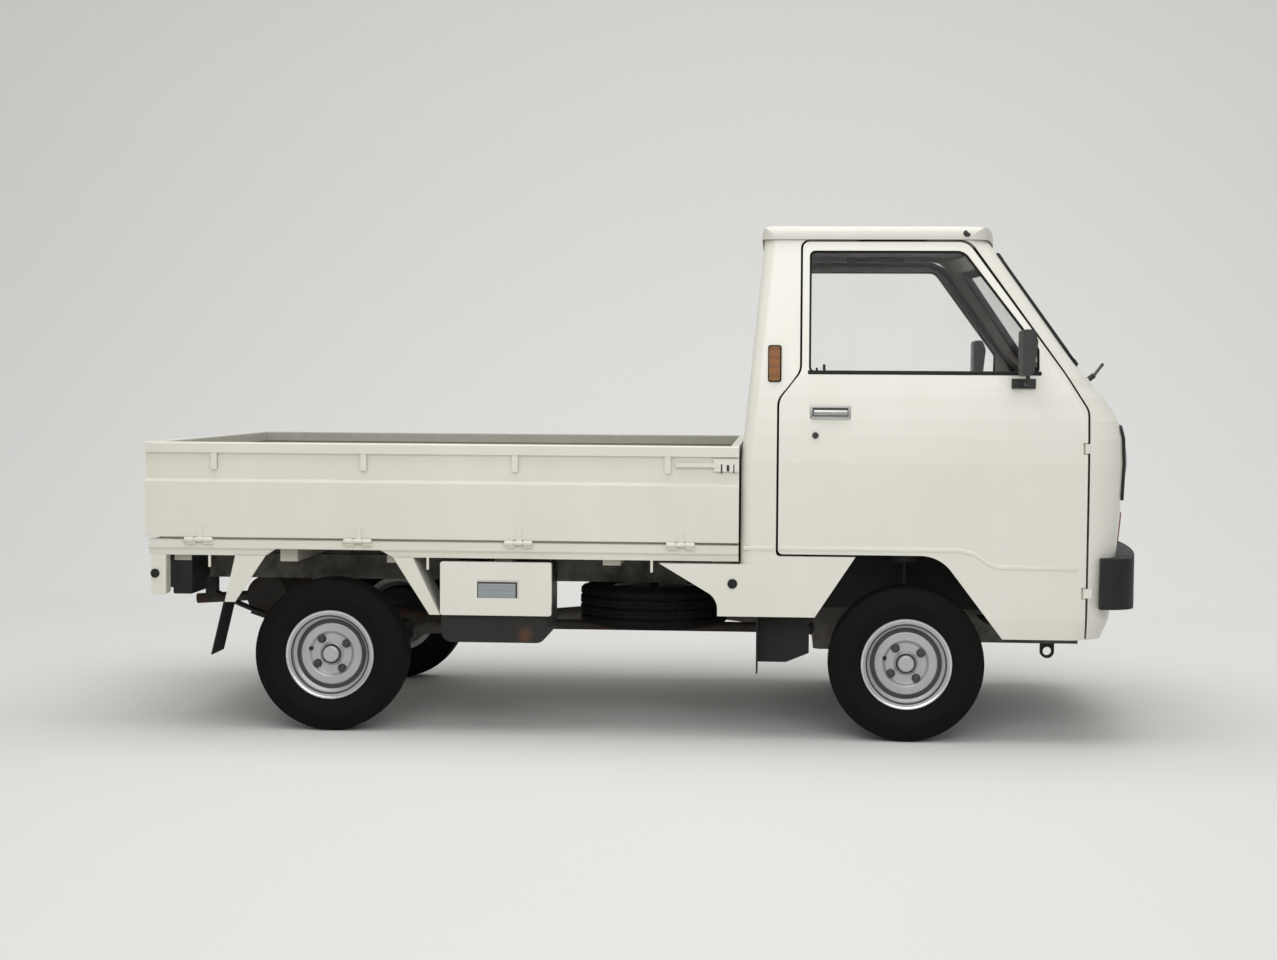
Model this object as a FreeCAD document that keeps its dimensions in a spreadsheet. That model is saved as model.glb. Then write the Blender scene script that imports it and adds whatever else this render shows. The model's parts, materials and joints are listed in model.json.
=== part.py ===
import FreeCAD, Part
import math
import os
from types import SimpleNamespace
from FreeCAD import Placement, Rotation, Vector

# Kei truck: a small cab-over pickup with a steel drop-side bed, as an assembly of separate panels and units.
# The row frame has +X forwards, +Y to the left, +Z up, and its origin on the ground under the middle of the box.
# Right-hand pieces are modelled first, on the -Y side, and the left-hand ones are their mirror images.

doc = FreeCAD.newDocument("kei_truck")
sheet = doc.addObject("Spreadsheet::Sheet", "Sizes")

# Driving dimensions in millimetres.
driving_sizes = {
    # Whole vehicle
    "overall_length": 3195,
    "body_width": 1395,
    "wheelbase": 1840,
    "front_overhang": 767.5,
    "front_track": 1215,
    "rear_track": 1180,
    "panel_gap": 7,
    "seat_gap": 0.3,
    "running_gap": 0.08,
    "overrun": 20,
    # Tyres and wheels
    "tyre_radius": 246,
    "tyre_width": 140,
    "tread_width": 116,
    "shoulder_drop": 4,
    "bead_radius": 127,
    "bead_width": 100,
    "flange_radius": 141,
    "flange_lip": 6,
    "rim_wall": 4,
    "well_radius": 108,
    "well_width": 44,
    "disc_face": 31,
    "nut_face": 22,
    "disc_wall": 5,
    "nut_circle": 114.3,
    "nut_radius": 9,
    "nut_height": 11,
    "nut_ring_radius": 74,
    "disc_ring_radius": 98,
    "hub_boss_radius": 34,
    "hub_cap_radius": 26,
    "hub_cap_height": 14,
    "spindle_radius": 18,
    "spindle_length": 62,
    "drum_radius": 97,
    "drum_width": 46,
    "drum_gap": 6,
    # Cab shell
    "nose_recess": 48.5,
    "nose_bottom": 333,
    "crease_height": 880,
    "belt_height": 1150,
    "header_height": 1580,
    "nose_setback": 113,
    "front_bulge_radius": 3500,
    "screen_bulge_radius": 2800,
    "nose_corner_radius": 130,
    "belt_corner_radius": 90,
    "header_corner_radius": 60,
    "screen_rake": 312,
    "back_rake": 68,
    "belt_tuck": 21.5,
    "header_tuck": 93.5,
    "back_corner_radius": 40,
    "cab_wall": 40,
    "roof_rise": 65,
    "roof_wall": 28,
    "roof_overhang": 9,
    "roof_rim_radius": 34,
    "roof_crown": 26,
    "roof_crown_radius": 900,
    "roof_front_drop": 26,
    # Door and side openings
    "pillar_width": 111,
    "upper_pillar_width": 181,
    "door_length": 968,
    "door_head_length": 528,
    "door_shoulder_setback": 75,
    "door_hip_height": 1075,
    "door_shoulder_height": 1165,
    "door_corner_radius": 28,
    "door_skin": 14,
    "door_inset": 15,
    "door_pin_setback": 12,
    "door_pin_inset": 9,
    "door_pin_radius": 2.5,
    "door_pin_end": 8,
    "door_lug_radius": 3.8,
    "door_lug_height": 30,
    "door_lug_gap": 3,
    "door_lug_leaf": 12,
    "door_notch_back": 9,
    "door_hinge_low": 480,
    "door_hinge_high": 930,
    "sill_top": 585,
    "sill_bottom": 394,
    "window_sill": 1160,
    "window_top": 1545,
    "window_rear_margin": 28,
    "window_head_margin": 17,
    "window_end_x": 156,
    "window_end_rise": 78,
    "window_radius": 18,
    "glass_wall": 4,
    "glass_inset": 16,
    "handle_length": 124,
    "handle_height": 38,
    "handle_depth": 10,
    "handle_drop": 104,
    "handle_setback": 106,
    "quarter_reach": 254,
    "quarter_waist_reach": 71,
    "quarter_waist_height": 450,
    # Front wheel arch, measured from the front axle
    "arch_front_reach": 294,
    "arch_rear_reach": 290,
    "arch_flat_rear": 160,
    "arch_flat_front": 97,
    "arch_top": 592,
    "arch_radius": 60,
    # Screen and rear window
    "screen_frame": 44,
    "screen_frame_low": 30,
    "screen_corner": 50,
    "rear_window_width": 940,
    "rear_window_bottom": 1190,
    "rear_window_top": 1500,
    "rear_window_radius": 60,
    # Nose furniture
    "grille_bottom": 765,
    "grille_top": 1000,
    "grille_width": 1220,
    "grille_proud": 9,
    "grille_depth": 26,
    "grille_radius": 24,
    "slot_height": 11,
    "slot_pitch": 25,
    "slot_reach": 300,
    "lamp_radius": 86,
    "lamp_y": 452,
    "lamp_depth": 22,
    "lens_bulge": 20,
    "indicator_bottom": 634,
    "indicator_top": 724,
    "indicator_width": 190,
    "indicator_radius": 10,
    "bumper_bottom": 431,
    "bumper_top": 590,
    "bumper_depth": 58,
    "bumper_half_width": 703,
    "bumper_corner_radius": 92,
    "bumper_return": 176,
    "bumper_edge": 14,
    "bumper_bulge_radius": 3000,
    # Cab floor and furniture
    "floor_wall": 15,
    "floor_half_width": 634,
    "footwell_floor": 345,
    "wheelhouse_half_gap": 395,
    "outrigger_width": 60,
    "outrigger_height": 50,
    "cab_mount_radius": 28,
    "dash_depth": 165,
    "dash_height": 215,
    "dash_half_width": 620,
    "dash_clearance": 90,
    "seat_width": 470,
    "seat_spacing": 560,
    "cushion_length": 470,
    "cushion_height": 118,
    "cushion_rear": 136,
    "back_height": 400,
    "back_thickness": 95,
    "back_lean": 42,
    "seat_edge_radius": 28,
    "wheel_rim_radius": 190,
    "wheel_tube_radius": 12,
    "wheel_hub_radius": 34,
    "wheel_tilt": 32,
    "wheel_x": 990,
    "wheel_y": 330,
    "wheel_height": 985,
    "column_radius": 22,
    "column_length": 520,
    # Mirrors, side lamps and wipers
    "mirror_x": 1179,
    "mirror_reach": 788,
    "mirror_width": 118,
    "mirror_height": 142,
    "mirror_depth": 46,
    "mirror_bottom": 1152,
    "mirror_foot_height": 1130,
    "mirror_arm_radius": 7,
    "side_lamp_width": 34,
    "side_lamp_height": 107,
    "side_lamp_bottom": 1135,
    "side_lamp_setback": 102,
    "side_lamp_proud": 9,
    "wiper_length": 420,
    "wiper_radius": 5,
    "wiper_spacing": 560,
    # Bed
    "bed_length": 1897.5,
    "cab_bed_gap": 6,
    "rail_top": 928,
    "rail_height": 33,
    "rail_depth": 36,
    "gate_bottom": 624,
    "gate_wall": 27,
    "gate_step": 11,
    "gate_step_height": 802,
    "gate_bevel": 10,
    "rib_width": 20,
    "rib_height": 54,
    "tailgate_recess": 9,
    "tailgate_rail_depth": 42,
    "hinge_radius": 5.5,
    "hinge_pin_radius": 3,
    "hinge_drop": 7,
    "hinge_knuckle": 28,
    "hinge_strap": 18,
    "hinge_strap_wall": 3,
    "latch_length": 132,
    "latch_height": 13,
    "latch_wall": 8,
    "latch_drop": 66,
    "floor_top": 628,
    "bed_floor_wall": 12,
    "bed_floor_half_width": 652,
    "floor_rib_height": 4,
    "floor_rib_width": 60,
    "floor_rib_pitch": 130,
    "side_rail_top": 616,
    "side_rail_inset": 6,
    "side_rail_face": 26,
    "side_rail_step": 8,
    "side_rail_bottom": 566,
    "side_rail_width": 50,
    "rail_arch_rear": 201,
    "rail_arch_top_rear": 168,
    "rail_arch_top_front": 171,
    "rail_arch_front": 213,
    "rail_arch_top": 588,
    "beam_width": 56,
    "hook_radius": 4.5,
    "hook_drop": 38,
    "leg_length": 48,
    "leg_bottom": 437,
    "leg_width": 50,
    "rear_panel_wall": 6,
    "rear_panel_bottom": 455,
    "plate_hole_spacing": 210,
    "plate_hole_height": 505,
    "plate_hole_radius": 3.5,
    "headboard_wall": 26,
    # Chassis
    "frame_half_spacing": 340,
    "frame_width": 50,
    "frame_bottom": 465,
    "frame_top": 545,
    "frame_front_bottom": 282,
    "frame_front_top": 340,
    "frame_cross_height": 46,
    "frame_cross_width": 60,
    "frame_front_recess": 145,
    "frame_rear_recess": 42,
    # Rear axle and springs
    "axle_tube_radius": 30,
    "diff_radius": 105,
    "diff_width": 150,
    "spring_half_length": 470,
    "spring_rise": 120,
    "leaf_wall": 8,
    "leaf_width": 48,
    "eye_radius": 18,
    "hanger_width": 34,
    "prop_radius": 28,
    "pinion_length": 155,
    "pinion_radius": 38,
    "gearbox_radius": 105,
    "gearbox_length": 330,
    # Engine, exhaust and tank
    "engine_rear": 545,
    "engine_front": 905,
    "engine_half_width": 210,
    "engine_bottom": 232,
    "engine_top": 520,
    "engine_edge": 18,
    "muffler_radius": 68,
    "muffler_x": -1305,
    "muffler_outer_y": 300,
    "muffler_inner_y": -90,
    "pipe_radius": 17,
    "pipe_y": 185,
    "pipe_height": 300,
    "tank_rear": -645,
    "tank_front": -290,
    "tank_bottom": 296,
    "tank_top": 540,
    "tank_edge": 34,
    "guard_bottom": 385,
    "guard_top": 555,
    "guard_wall": 24,
    "guard_edge": 8,
    "reflector_width": 134,
    "reflector_height": 56,
    "reflector_depth": 5,
    # Spare wheel
    "spare_x": 12,
    "spare_y": 297,
    "spare_drop": 4,
    "carrier_radius": 12,
    "carrier_plate_radius": 60,
    "carrier_plate_wall": 6,
    # Guards
    "flap_wall": 5,
    "flap_width": 135,
    "splash_front": 305,
    "splash_bottom": 240,
    "splash_slope": 72,
    "splash_rise": 30,
    "splash_y": 600,
    "fender_wall": 4,
    "fender_leg": 34,
    "wing_depth": 162,
    "wing_rear_reach": 331,
    "wing_rear_top": 296,
    "wing_front_top": 277,
    "wing_front_length": 63,
    "wing_top_length": 98,
    "wing_foot": 417,
    # Front suspension and steering
    "kingpin_offset": 87.5,
    "strut_offset": 16,
    "strut_radius": 22,
    "strut_rod_radius": 11,
    "strut_top": 560,
    "strut_seat_radius": 62,
    "arm_drop": 62,
    "arm_width": 44,
    "arm_wall": 22,
    "knuckle_half": 26,
    "tie_arm_reach": 112,
    "tie_arm_wall": 12,
    "tie_rod_radius": 9,
    "tie_eye_radius": 15,
    "ball_seat_radius": 16,
    "rack_radius": 22,
    "rack_length": 420,
    # Tow eye
    "tow_eye_radius": 14,
    "tow_bar_radius": 6,
    "tow_eye_x": 1308,
}

for row, (alias, value) in enumerate(driving_sizes.items(), start=1):
    sheet.set(f"A{row}", alias)
    sheet.set(f"B{row}", str(value))
    sheet.setAlias(f"B{row}", alias)
doc.recompute()
S = SimpleNamespace(**{alias: float(sheet.get(alias)) for alias in driving_sizes})

# Shares: proportions of other sizes, without a unit.
corner_slope_share = 0.75
window_head_share = 2.5
roof_arc_share = 0.8
roof_edge_share = 0.35
roof_lip_share = 0.4
roof_rim_share = 1.6
lens_waist_share = 0.55
lens_dome_share = 0.78
lens_round_share = 0.6
bucket_share = 0.6
side_lamp_start_share = 0.9
side_lamp_reach_share = 0.2
bead_round_share = 0.03
bead_rise_share = 0.22
bead_flare_share = 0.12
wall_rise_share = 0.66
wall_round_share = 0.2
tread_round_share = 0.08
nut_turn_share = 35 / 360
diff_waist_share = 0.6
diff_corner_share = 0.2
diff_crown_share = 1.15
diff_round_share = 0.5
leaf_shares = (0.45, 0.7, 1.0)
gearbox_bell_share = 0.3
gearbox_waist_share = 0.75
gearbox_tail_share = 0.5
pipe_knee_share = 0.75
rib_margin_share = 0.118
hinge_margin_share = 0.0945
tail_hinge_margin_share = 0.28
tail_rib_margin_share = 0.4
hook_inset_share = 1.5
hook_place_shares = (0.108, 0.48, 0.856)
leg_inset_share = 1.5
flap_lean_share = 1.5
flap_setback_share = 1.35
floor_back_share = 0.75
cushion_nose_share = 1.5
back_taper_share = 0.55
spoke_share = 0.7
column_base_share = 1.4
mirror_shoulder_share = 0.75
mirror_foot_share = 0.8
wiper_pivot_share = 1.8
tow_plate_share = 1.5
tow_round_share = 0.98

# Places along the vehicle that several pieces share.
rear_x = -S.overall_length / 2
bumper_x = S.overall_length / 2
front_axle_x = bumper_x - S.front_overhang
rear_axle_x = front_axle_x - S.wheelbase
bed_front_x = rear_x + S.bed_length
cab_back_x = bed_front_x + S.cab_bed_gap
nose_x = bumper_x - S.nose_recess
half_width = S.body_width / 2
door_rear_x = cab_back_x + S.pillar_width
door_front_x = door_rear_x + S.door_length
floor_z = S.sill_top


# Sketches, pads and booleans

def corner_arc(before, corner, after, radius):
    """Tangent arc that rounds one corner of an outline, with its two ends."""
    back = (before - corner).normalize()
    onward = (after - corner).normalize()
    half_angle = back.getAngle(onward) / 2
    reach = radius / math.tan(half_angle)
    bisector = (back + onward).normalize()
    first = corner + back * reach
    last = corner + onward * reach
    middle = corner + bisector * (radius / math.sin(half_angle) - radius)
    return first, last, Part.Arc(first, middle, last)


def rounded(points):
    """Closed outline from (a, b) or (a, b, radius) points: straight runs joined by tangent arcs."""
    corners = [Vector(point[0], point[1], 0) for point in points]
    radii = [point[2] if len(point) > 2 else 0 for point in points]
    starts, ends, arcs = [], [], []
    for i, corner in enumerate(corners):
        if radii[i] > 0:
            first, last, arc = corner_arc(corners[i - 1], corner, corners[(i + 1) % len(corners)], radii[i])
        else:
            first, last, arc = corner, corner, None
        starts.append(first)
        ends.append(last)
        arcs.append(arc)
    edges = []
    for i, arc in enumerate(arcs):
        if arc is not None:
            edges.append(arc)
        onward = starts[(i + 1) % len(corners)]
        if (onward - ends[i]).Length > 1e-6:
            edges.append(Part.LineSegment(ends[i], onward))
    return edges


def circle(a, b, radius):
    return [Part.Circle(Vector(a, b, 0), Vector(0, 0, 1), radius)]


def new_body(label):
    return doc.addObject("PartDesign::Body", label)


def new_sketch(body, role, offset, *outlines):
    """Sketch on one of the body's origin planes, moved along that plane's normal by offset."""
    sketch = body.newObject("Sketcher::SketchObject", body.Name + "_sketch")
    plane = [feature for feature in body.Origin.OriginFeatures if feature.Role == role][0]
    sketch.AttachmentSupport = [(plane, "")]
    sketch.MapMode = "FlatFace"
    sketch.AttachmentOffset = Placement(Vector(0, 0, offset), Rotation())
    for outline in outlines:
        sketch.addGeometry(outline, False)
    return sketch


def bind(feature, name, size):
    """Set a length either to a cell of the sheet, given by its alias, or to a worked-out value."""
    if isinstance(size, str):
        feature.setExpression(name, "Sizes." + size)
    else:
        setattr(feature, name, size)


def pad(label, role, offset, length, *outlines):
    """Body of one pad: outlines on an origin plane, raised along its normal by length."""
    body = new_body(label)
    feature = body.newObject("PartDesign::Pad", label + "_pad")
    feature.Profile = new_sketch(body, role, offset, *outlines)
    bind(feature, "Length", length)
    return body


def wide_pad(label, role, length, *outlines):
    """Body of one pad that grows both ways from an origin plane."""
    body = pad(label, role, 0, length, *outlines)
    body.Tip.SideType = "Symmetric"
    return body


def turned(label, role, axis, *outlines):
    """Body of one revolution about the sketch's H_Axis or V_Axis."""
    body = new_body(label)
    feature = body.newObject("PartDesign::Revolution", label + "_turn")
    sketch = new_sketch(body, role, 0, *outlines)
    feature.Profile = sketch
    feature.ReferenceAxis = (sketch, [axis])
    return body


def box(label, low, high):
    """Part box between two corners."""
    block = doc.addObject("Part::Box", label)
    block.Length = high[0] - low[0]
    block.Width = high[1] - low[1]
    block.Height = high[2] - low[2]
    block.Placement = Placement(Vector(*low), Rotation())
    return block


def rod(label, start, end, radius):
    """Part cylinder from one point to another, its radius bound to the sheet where an alias is given."""
    cylinder = doc.addObject("Part::Cylinder", label)
    run = Vector(*end) - Vector(*start)
    bind(cylinder, "Radius", radius)
    cylinder.Height = run.Length
    cylinder.Placement = Placement(Vector(*start), Rotation(Vector(0, 0, 1), run))
    return cylinder


def join(label, *pieces):
    fused = doc.addObject("Part::MultiFuse", label)
    fused.Shapes = list(pieces)
    fused.Refine = True
    return fused


def overlap(label, *pieces):
    shared = doc.addObject("Part::MultiCommon", label)
    shared.Shapes = list(pieces)
    return shared


def cut(label, base, *tools):
    """Base with one tool after another taken away."""
    rest = base
    for i, tool in enumerate(tools):
        step = doc.addObject("Part::Cut", label if i == len(tools) - 1 else f"{label}_step_{i}")
        step.Base = rest
        step.Tool = tool
        rest = step
    return rest


def group(label, *pieces):
    """Like pieces that don't touch, as one sub-part."""
    bundle = doc.addObject("Part::Compound", label)
    bundle.Links = list(pieces)
    return bundle


def mirrored(label, source):
    """Mirror image on the other side of the vehicle's middle plane."""
    image = doc.addObject("Part::Mirroring", label)
    image.Source = source
    image.Base = Vector(0, 0, 0)
    image.Normal = Vector(0, 1, 0)
    return image


def both_sides(label, source):
    return group(label, source, mirrored(label + "_left", source))


def moved(label, source, x, y, z, rotation=None):
    """Copy of a shape at another place, linked to its source."""
    copy = doc.addObject("Part::Compound", label)
    copy.Links = [source]
    copy.Placement = Placement(Vector(x, y, z), rotation or Rotation())
    return copy


nodes = []


def node(label, piece):
    """Name a finished sub-part: its label is the name of its node and of its file."""
    piece.Label = label
    nodes.append(piece)
    return piece


# Cab shell
# Plan sections of the cab, from the bottom up: a straight back, two sides, a bulged front and rounded corners.
# Each row of the table holds, as shares: height between nose bottom and belt, half width, setback of the nose
# below the belt, and corner radius. The nose stands almost upright and rolls back into the cowl over its last third.

nose_section_shares = (
    (0.000, 0.989, 0.549, 0.96),
    (0.076, 1.000, 0.327, 1.00),
    (0.454, 1.000, 0.071, 1.00),
    (0.670, 1.000, 0.000, 1.00),
    (0.767, 0.994, 0.027, 0.98),
    (0.834, 0.988, 0.150, 0.95),
    (0.882, 0.983, 0.354, 0.91),
    (0.922, 0.979, 0.549, 0.85),
    (0.9645, 0.974, 0.840, 0.76),
    (1.000, 0.969, 1.000, 0.69),
)


def plan_section(z, half, front, corner, back, bulge):
    """Closed plan outline of the cab at one height."""
    turn = math.asin((half - corner) / bulge)
    arc_centre_x = front - bulge + (bulge - corner) * math.cos(turn)
    half_turn = (math.pi / 2 + turn) / 2
    knee = Vector(arc_centre_x + corner * math.cos(half_turn),
                  half - corner + corner * math.sin(half_turn), z)
    side = Vector(arc_centre_x, half, z)
    corner_back = min(S.back_corner_radius, corner)
    rear_side = Vector(back + corner_back, half, z)
    rear_knee = Vector(back + corner_back * (1 - math.sin(math.pi / 4)),
                       half - corner_back * (1 - math.sin(math.pi / 4)), z)
    rear = Vector(back, half - corner_back, z)
    tip = Vector(arc_centre_x + corner * math.cos(turn), half - corner + corner * math.sin(turn), z)

    def flip(point):
        return Vector(point.x, -point.y, point.z)

    edges = [
        Part.LineSegment(flip(rear), rear),
        Part.Arc(rear, rear_knee, rear_side),
        Part.LineSegment(rear_side, side),
        Part.Arc(side, knee, tip),
        Part.Arc(tip, Vector(front, 0, z), flip(tip)),
        Part.Arc(flip(tip), flip(knee), flip(side)),
        Part.LineSegment(flip(side), flip(rear_side)),
        Part.Arc(flip(rear_side), flip(rear_knee), flip(rear)),
    ]
    return Part.Wire([edge.toShape() for edge in edges])


def cab_section(share, offset):
    """Plan section of the lower cab for one row of the table, moved inwards by offset."""
    height, width, setback, corner = share
    z = S.nose_bottom + height * (S.belt_height - S.nose_bottom)
    rise = max(0, z - S.crease_height) / (S.header_height - S.crease_height)
    return plan_section(z, width * half_width - offset,
                        nose_x - setback * S.nose_setback - offset,
                        corner * S.nose_corner_radius - offset / 2,
                        cab_back_x + rise * S.back_rake + offset * corner_slope_share,
                        S.front_bulge_radius)


def cab_volume(label, offset):
    """Solid bounded by the cab's outer surface moved inwards by offset, from nose bottom to header."""
    sections = [cab_section(share, offset) for share in nose_section_shares]
    belt_rise = (S.belt_height - S.crease_height) / (S.header_height - S.crease_height)
    screen_sections = [
        plan_section(S.belt_height, half_width - S.belt_tuck - offset, nose_x - S.nose_setback - offset,
                     S.belt_corner_radius - offset / 2,
                     cab_back_x + belt_rise * S.back_rake + offset * corner_slope_share,
                     S.screen_bulge_radius),
        plan_section(S.header_height, half_width - S.header_tuck - offset,
                     nose_x - S.nose_setback - S.screen_rake - offset,
                     S.header_corner_radius - offset / 2,
                     cab_back_x + S.back_rake + offset * corner_slope_share, S.screen_bulge_radius),
    ]
    lower = Part.makeLoft(sections, True, True)
    upper = Part.makeLoft(screen_sections, True, True)
    volume = doc.addObject("Part::Feature", label)
    volume.Shape = lower.fuse(upper)
    return volume


cab_outer = cab_volume("cab_outer", 0)
cab_inner = cab_volume("cab_inner", S.cab_wall)
cab_shell = cut("cab_shell", cab_outer, cab_inner)

# Outlines of the openings, in side view.
arch_outline = [
    (front_axle_x - S.arch_rear_reach, S.sill_bottom),
    (front_axle_x - S.arch_flat_rear, S.arch_top, S.arch_radius / 3),
    (front_axle_x + S.arch_flat_front, S.arch_top, S.arch_radius * 2),
    (front_axle_x + S.arch_front_reach, S.nose_bottom),
    (front_axle_x + S.arch_front_reach, S.nose_bottom - S.overrun),
    (front_axle_x - S.arch_rear_reach, S.nose_bottom - S.overrun),
]
window_front_x = door_front_x - S.window_end_x
door_head_x = cab_back_x + S.upper_pillar_width + S.door_head_length


def door_outline(gap, bottom_front, bottom_rear):
    """Door edge in side view, moved inwards by gap on every side."""
    radius = S.door_corner_radius
    return [
        (door_rear_x + gap, bottom_rear + gap, radius / 2),
        (door_rear_x + gap, S.door_hip_height, radius * 2),
        (cab_back_x + S.upper_pillar_width + gap, S.door_shoulder_height, radius * 2),
        (cab_back_x + S.upper_pillar_width + gap, S.header_height - gap, radius - gap),
        (door_head_x - gap, S.header_height - gap, radius * 2),
        (door_front_x - S.door_shoulder_setback - gap, S.door_shoulder_height, radius * 5),
        (door_front_x - gap, S.door_hip_height - S.door_corner_radius, radius * 2),
        (door_front_x - gap, bottom_front + gap),
        (front_axle_x, bottom_front + gap),
        (front_axle_x, bottom_rear + gap),
    ]


window_outline = [
    (cab_back_x + S.upper_pillar_width + S.window_rear_margin, S.window_sill, S.window_radius),
    (cab_back_x + S.upper_pillar_width + S.window_rear_margin, S.window_top, S.window_radius),
    (door_head_x - S.window_head_margin, S.window_top, S.window_radius * window_head_share),
    (window_front_x, S.window_sill + S.window_end_rise, S.window_radius),
    (window_front_x, S.window_sill, S.window_radius),
]


def side_prism(label, outline, inner_y=None):
    """Outline in side view, extruded outwards from inner_y past the body side."""
    start = half_width - S.header_tuck - S.cab_wall * 2 if inner_y is None else inner_y
    return pad(label, "XZ_Plane", start, half_width + S.overrun - start, rounded(outline))


def screen_outline(shrink):
    """Windscreen opening in front view."""
    low = S.belt_height + S.screen_frame_low + shrink
    top = S.header_height - S.screen_frame - shrink
    low_half = half_width - S.belt_tuck - S.screen_frame - S.screen_frame_low - shrink
    top_half = half_width - S.header_tuck - S.screen_frame - S.screen_frame_low / 2 - shrink
    radius = S.screen_corner - shrink
    return [(-low_half, low, radius), (low_half, low, radius), (top_half, top, radius),
            (-top_half, top, radius)]


def rear_window_outline(shrink):
    half = S.rear_window_width / 2 - shrink
    radius = S.rear_window_radius - shrink
    return [(-half, S.rear_window_bottom + shrink, radius), (half, S.rear_window_bottom + shrink, radius),
            (half, S.rear_window_top - shrink, radius), (-half, S.rear_window_top - shrink, radius)]


def wheel_arch_cut(label):
    return side_prism(label, arch_outline)


def build_cab_side():
    """Rear quarter: door pillar, sill up to the wheel arch and the corner panel behind the cab's back."""
    low_rear = cab_back_x - S.quarter_waist_reach
    region = side_prism("quarter_region", [
        (cab_back_x - S.overrun, S.header_height),
        (cab_back_x + S.upper_pillar_width + S.overrun, S.header_height),
        (front_axle_x, S.sill_top),
        (front_axle_x, S.sill_bottom),
        (cab_back_x - S.overrun, S.sill_bottom),
    ], half_width - S.header_tuck - S.cab_wall - S.overrun / 2)
    opening = side_prism("quarter_door_opening", door_outline(0, S.nose_bottom, S.sill_top))
    panel = cut("quarter_shell", overlap("quarter_blank", cab_shell, region), opening,
                wheel_arch_cut("quarter_arch"))
    corner = pad("quarter_corner", "XZ_Plane", half_width - S.cab_wall, "cab_wall", rounded([
        (cab_back_x - S.quarter_reach, S.side_rail_bottom - S.side_rail_step),
        (low_rear, S.quarter_waist_height, S.arch_radius),
        (low_rear, S.sill_bottom),
        (cab_back_x + S.back_corner_radius + S.overrun, S.sill_bottom),
        (cab_back_x + S.back_corner_radius + S.overrun, S.side_rail_bottom - S.side_rail_step),
    ]))
    return join("quarter", panel, corner)


def door_pin_place():
    """Door hinge axis in plan: just inside the skin, at the door's front edge."""
    return door_front_x - S.door_pin_setback, S.door_pin_inset - half_width


def hinge_lug(label, z):
    """Lug on the nose panel that a door's hinge pin turns in."""
    x, y = door_pin_place()
    low = z - S.door_lug_height / 2
    high = z + S.door_lug_height / 2
    knuckle = rod(label + "_knuckle", (x, y, low), (x, y, high), "door_lug_radius")
    plate = box(label + "_plate", (x, y - S.door_lug_radius, low),
                (door_front_x + S.door_lug_leaf, y + S.door_lug_radius, high))
    bore = rod(label + "_bore", (x, y, low - S.overrun), (x, y, high + S.overrun),
               S.door_pin_radius + S.running_gap)
    return cut(label, join(label + "_blank", knuckle, plate), bore)


def build_door():
    """Right door: an outer skin with full outline on a narrower inner box, its window cut through both."""
    skin = side_prism("door_skin_region",
                      door_outline(S.panel_gap, S.nose_bottom - S.panel_gap, S.sill_top))
    inner = side_prism("door_inner_region",
                       door_outline(S.panel_gap + S.door_inset, S.nose_bottom, S.sill_top + S.panel_gap))
    skin_shell = cut("door_skin_shell", cab_outer, cab_volume("door_skin_inner", S.door_skin))
    inner_shell = cut("door_inner_shell", cab_volume("door_box_outer", S.door_skin), cab_inner)
    leaf = join("door_leaf", overlap("door_skin_leaf", skin_shell, skin),
                overlap("door_inner_leaf", inner_shell, inner))
    recess_x = door_rear_x + S.handle_setback
    recess_z = S.window_sill - S.handle_drop
    recess = box("handle_recess", (recess_x, -half_width - S.overrun, recess_z - S.handle_height),
                 (recess_x + S.handle_length, -half_width + S.handle_depth, recess_z))
    x, y = door_pin_place()
    reach = S.door_lug_height / 2 + S.door_lug_gap
    notches = []
    pins = []
    for i, z in enumerate((S.door_hinge_low, S.door_hinge_high)):
        notches.append(box(f"hinge_notch_{i}", (x - S.door_notch_back, -half_width - S.overrun, z - reach),
                           (door_front_x, S.door_skin - half_width, z + reach)))
        pins.append(rod(f"hinge_pin_{i}", (x, y, z - reach - S.door_pin_end),
                        (x, y, z + reach + S.door_pin_end),
                        "door_pin_radius"))
    panel = cut("door_panel", leaf, side_prism("door_window", window_outline), wheel_arch_cut("door_arch"),
                recess,
                *notches)
    return join("door_hinged", panel, *pins)


def shell_piece(label, outer_offset, inner_offset, region):
    """Part of the cab's skin between two offsets of its outer surface, inside a region."""
    layer = cut(label + "_layer", cab_volume(label + "_outer", outer_offset),
                cab_volume(label + "_inner", inner_offset))
    return overlap(label, layer, region)


def build_door_glass():
    """Side window: a flat pane that fills the door's window opening."""
    return shell_piece("side_pane", S.glass_inset, S.glass_inset + S.glass_wall,
                       side_prism("side_pane_region", window_outline))


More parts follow.
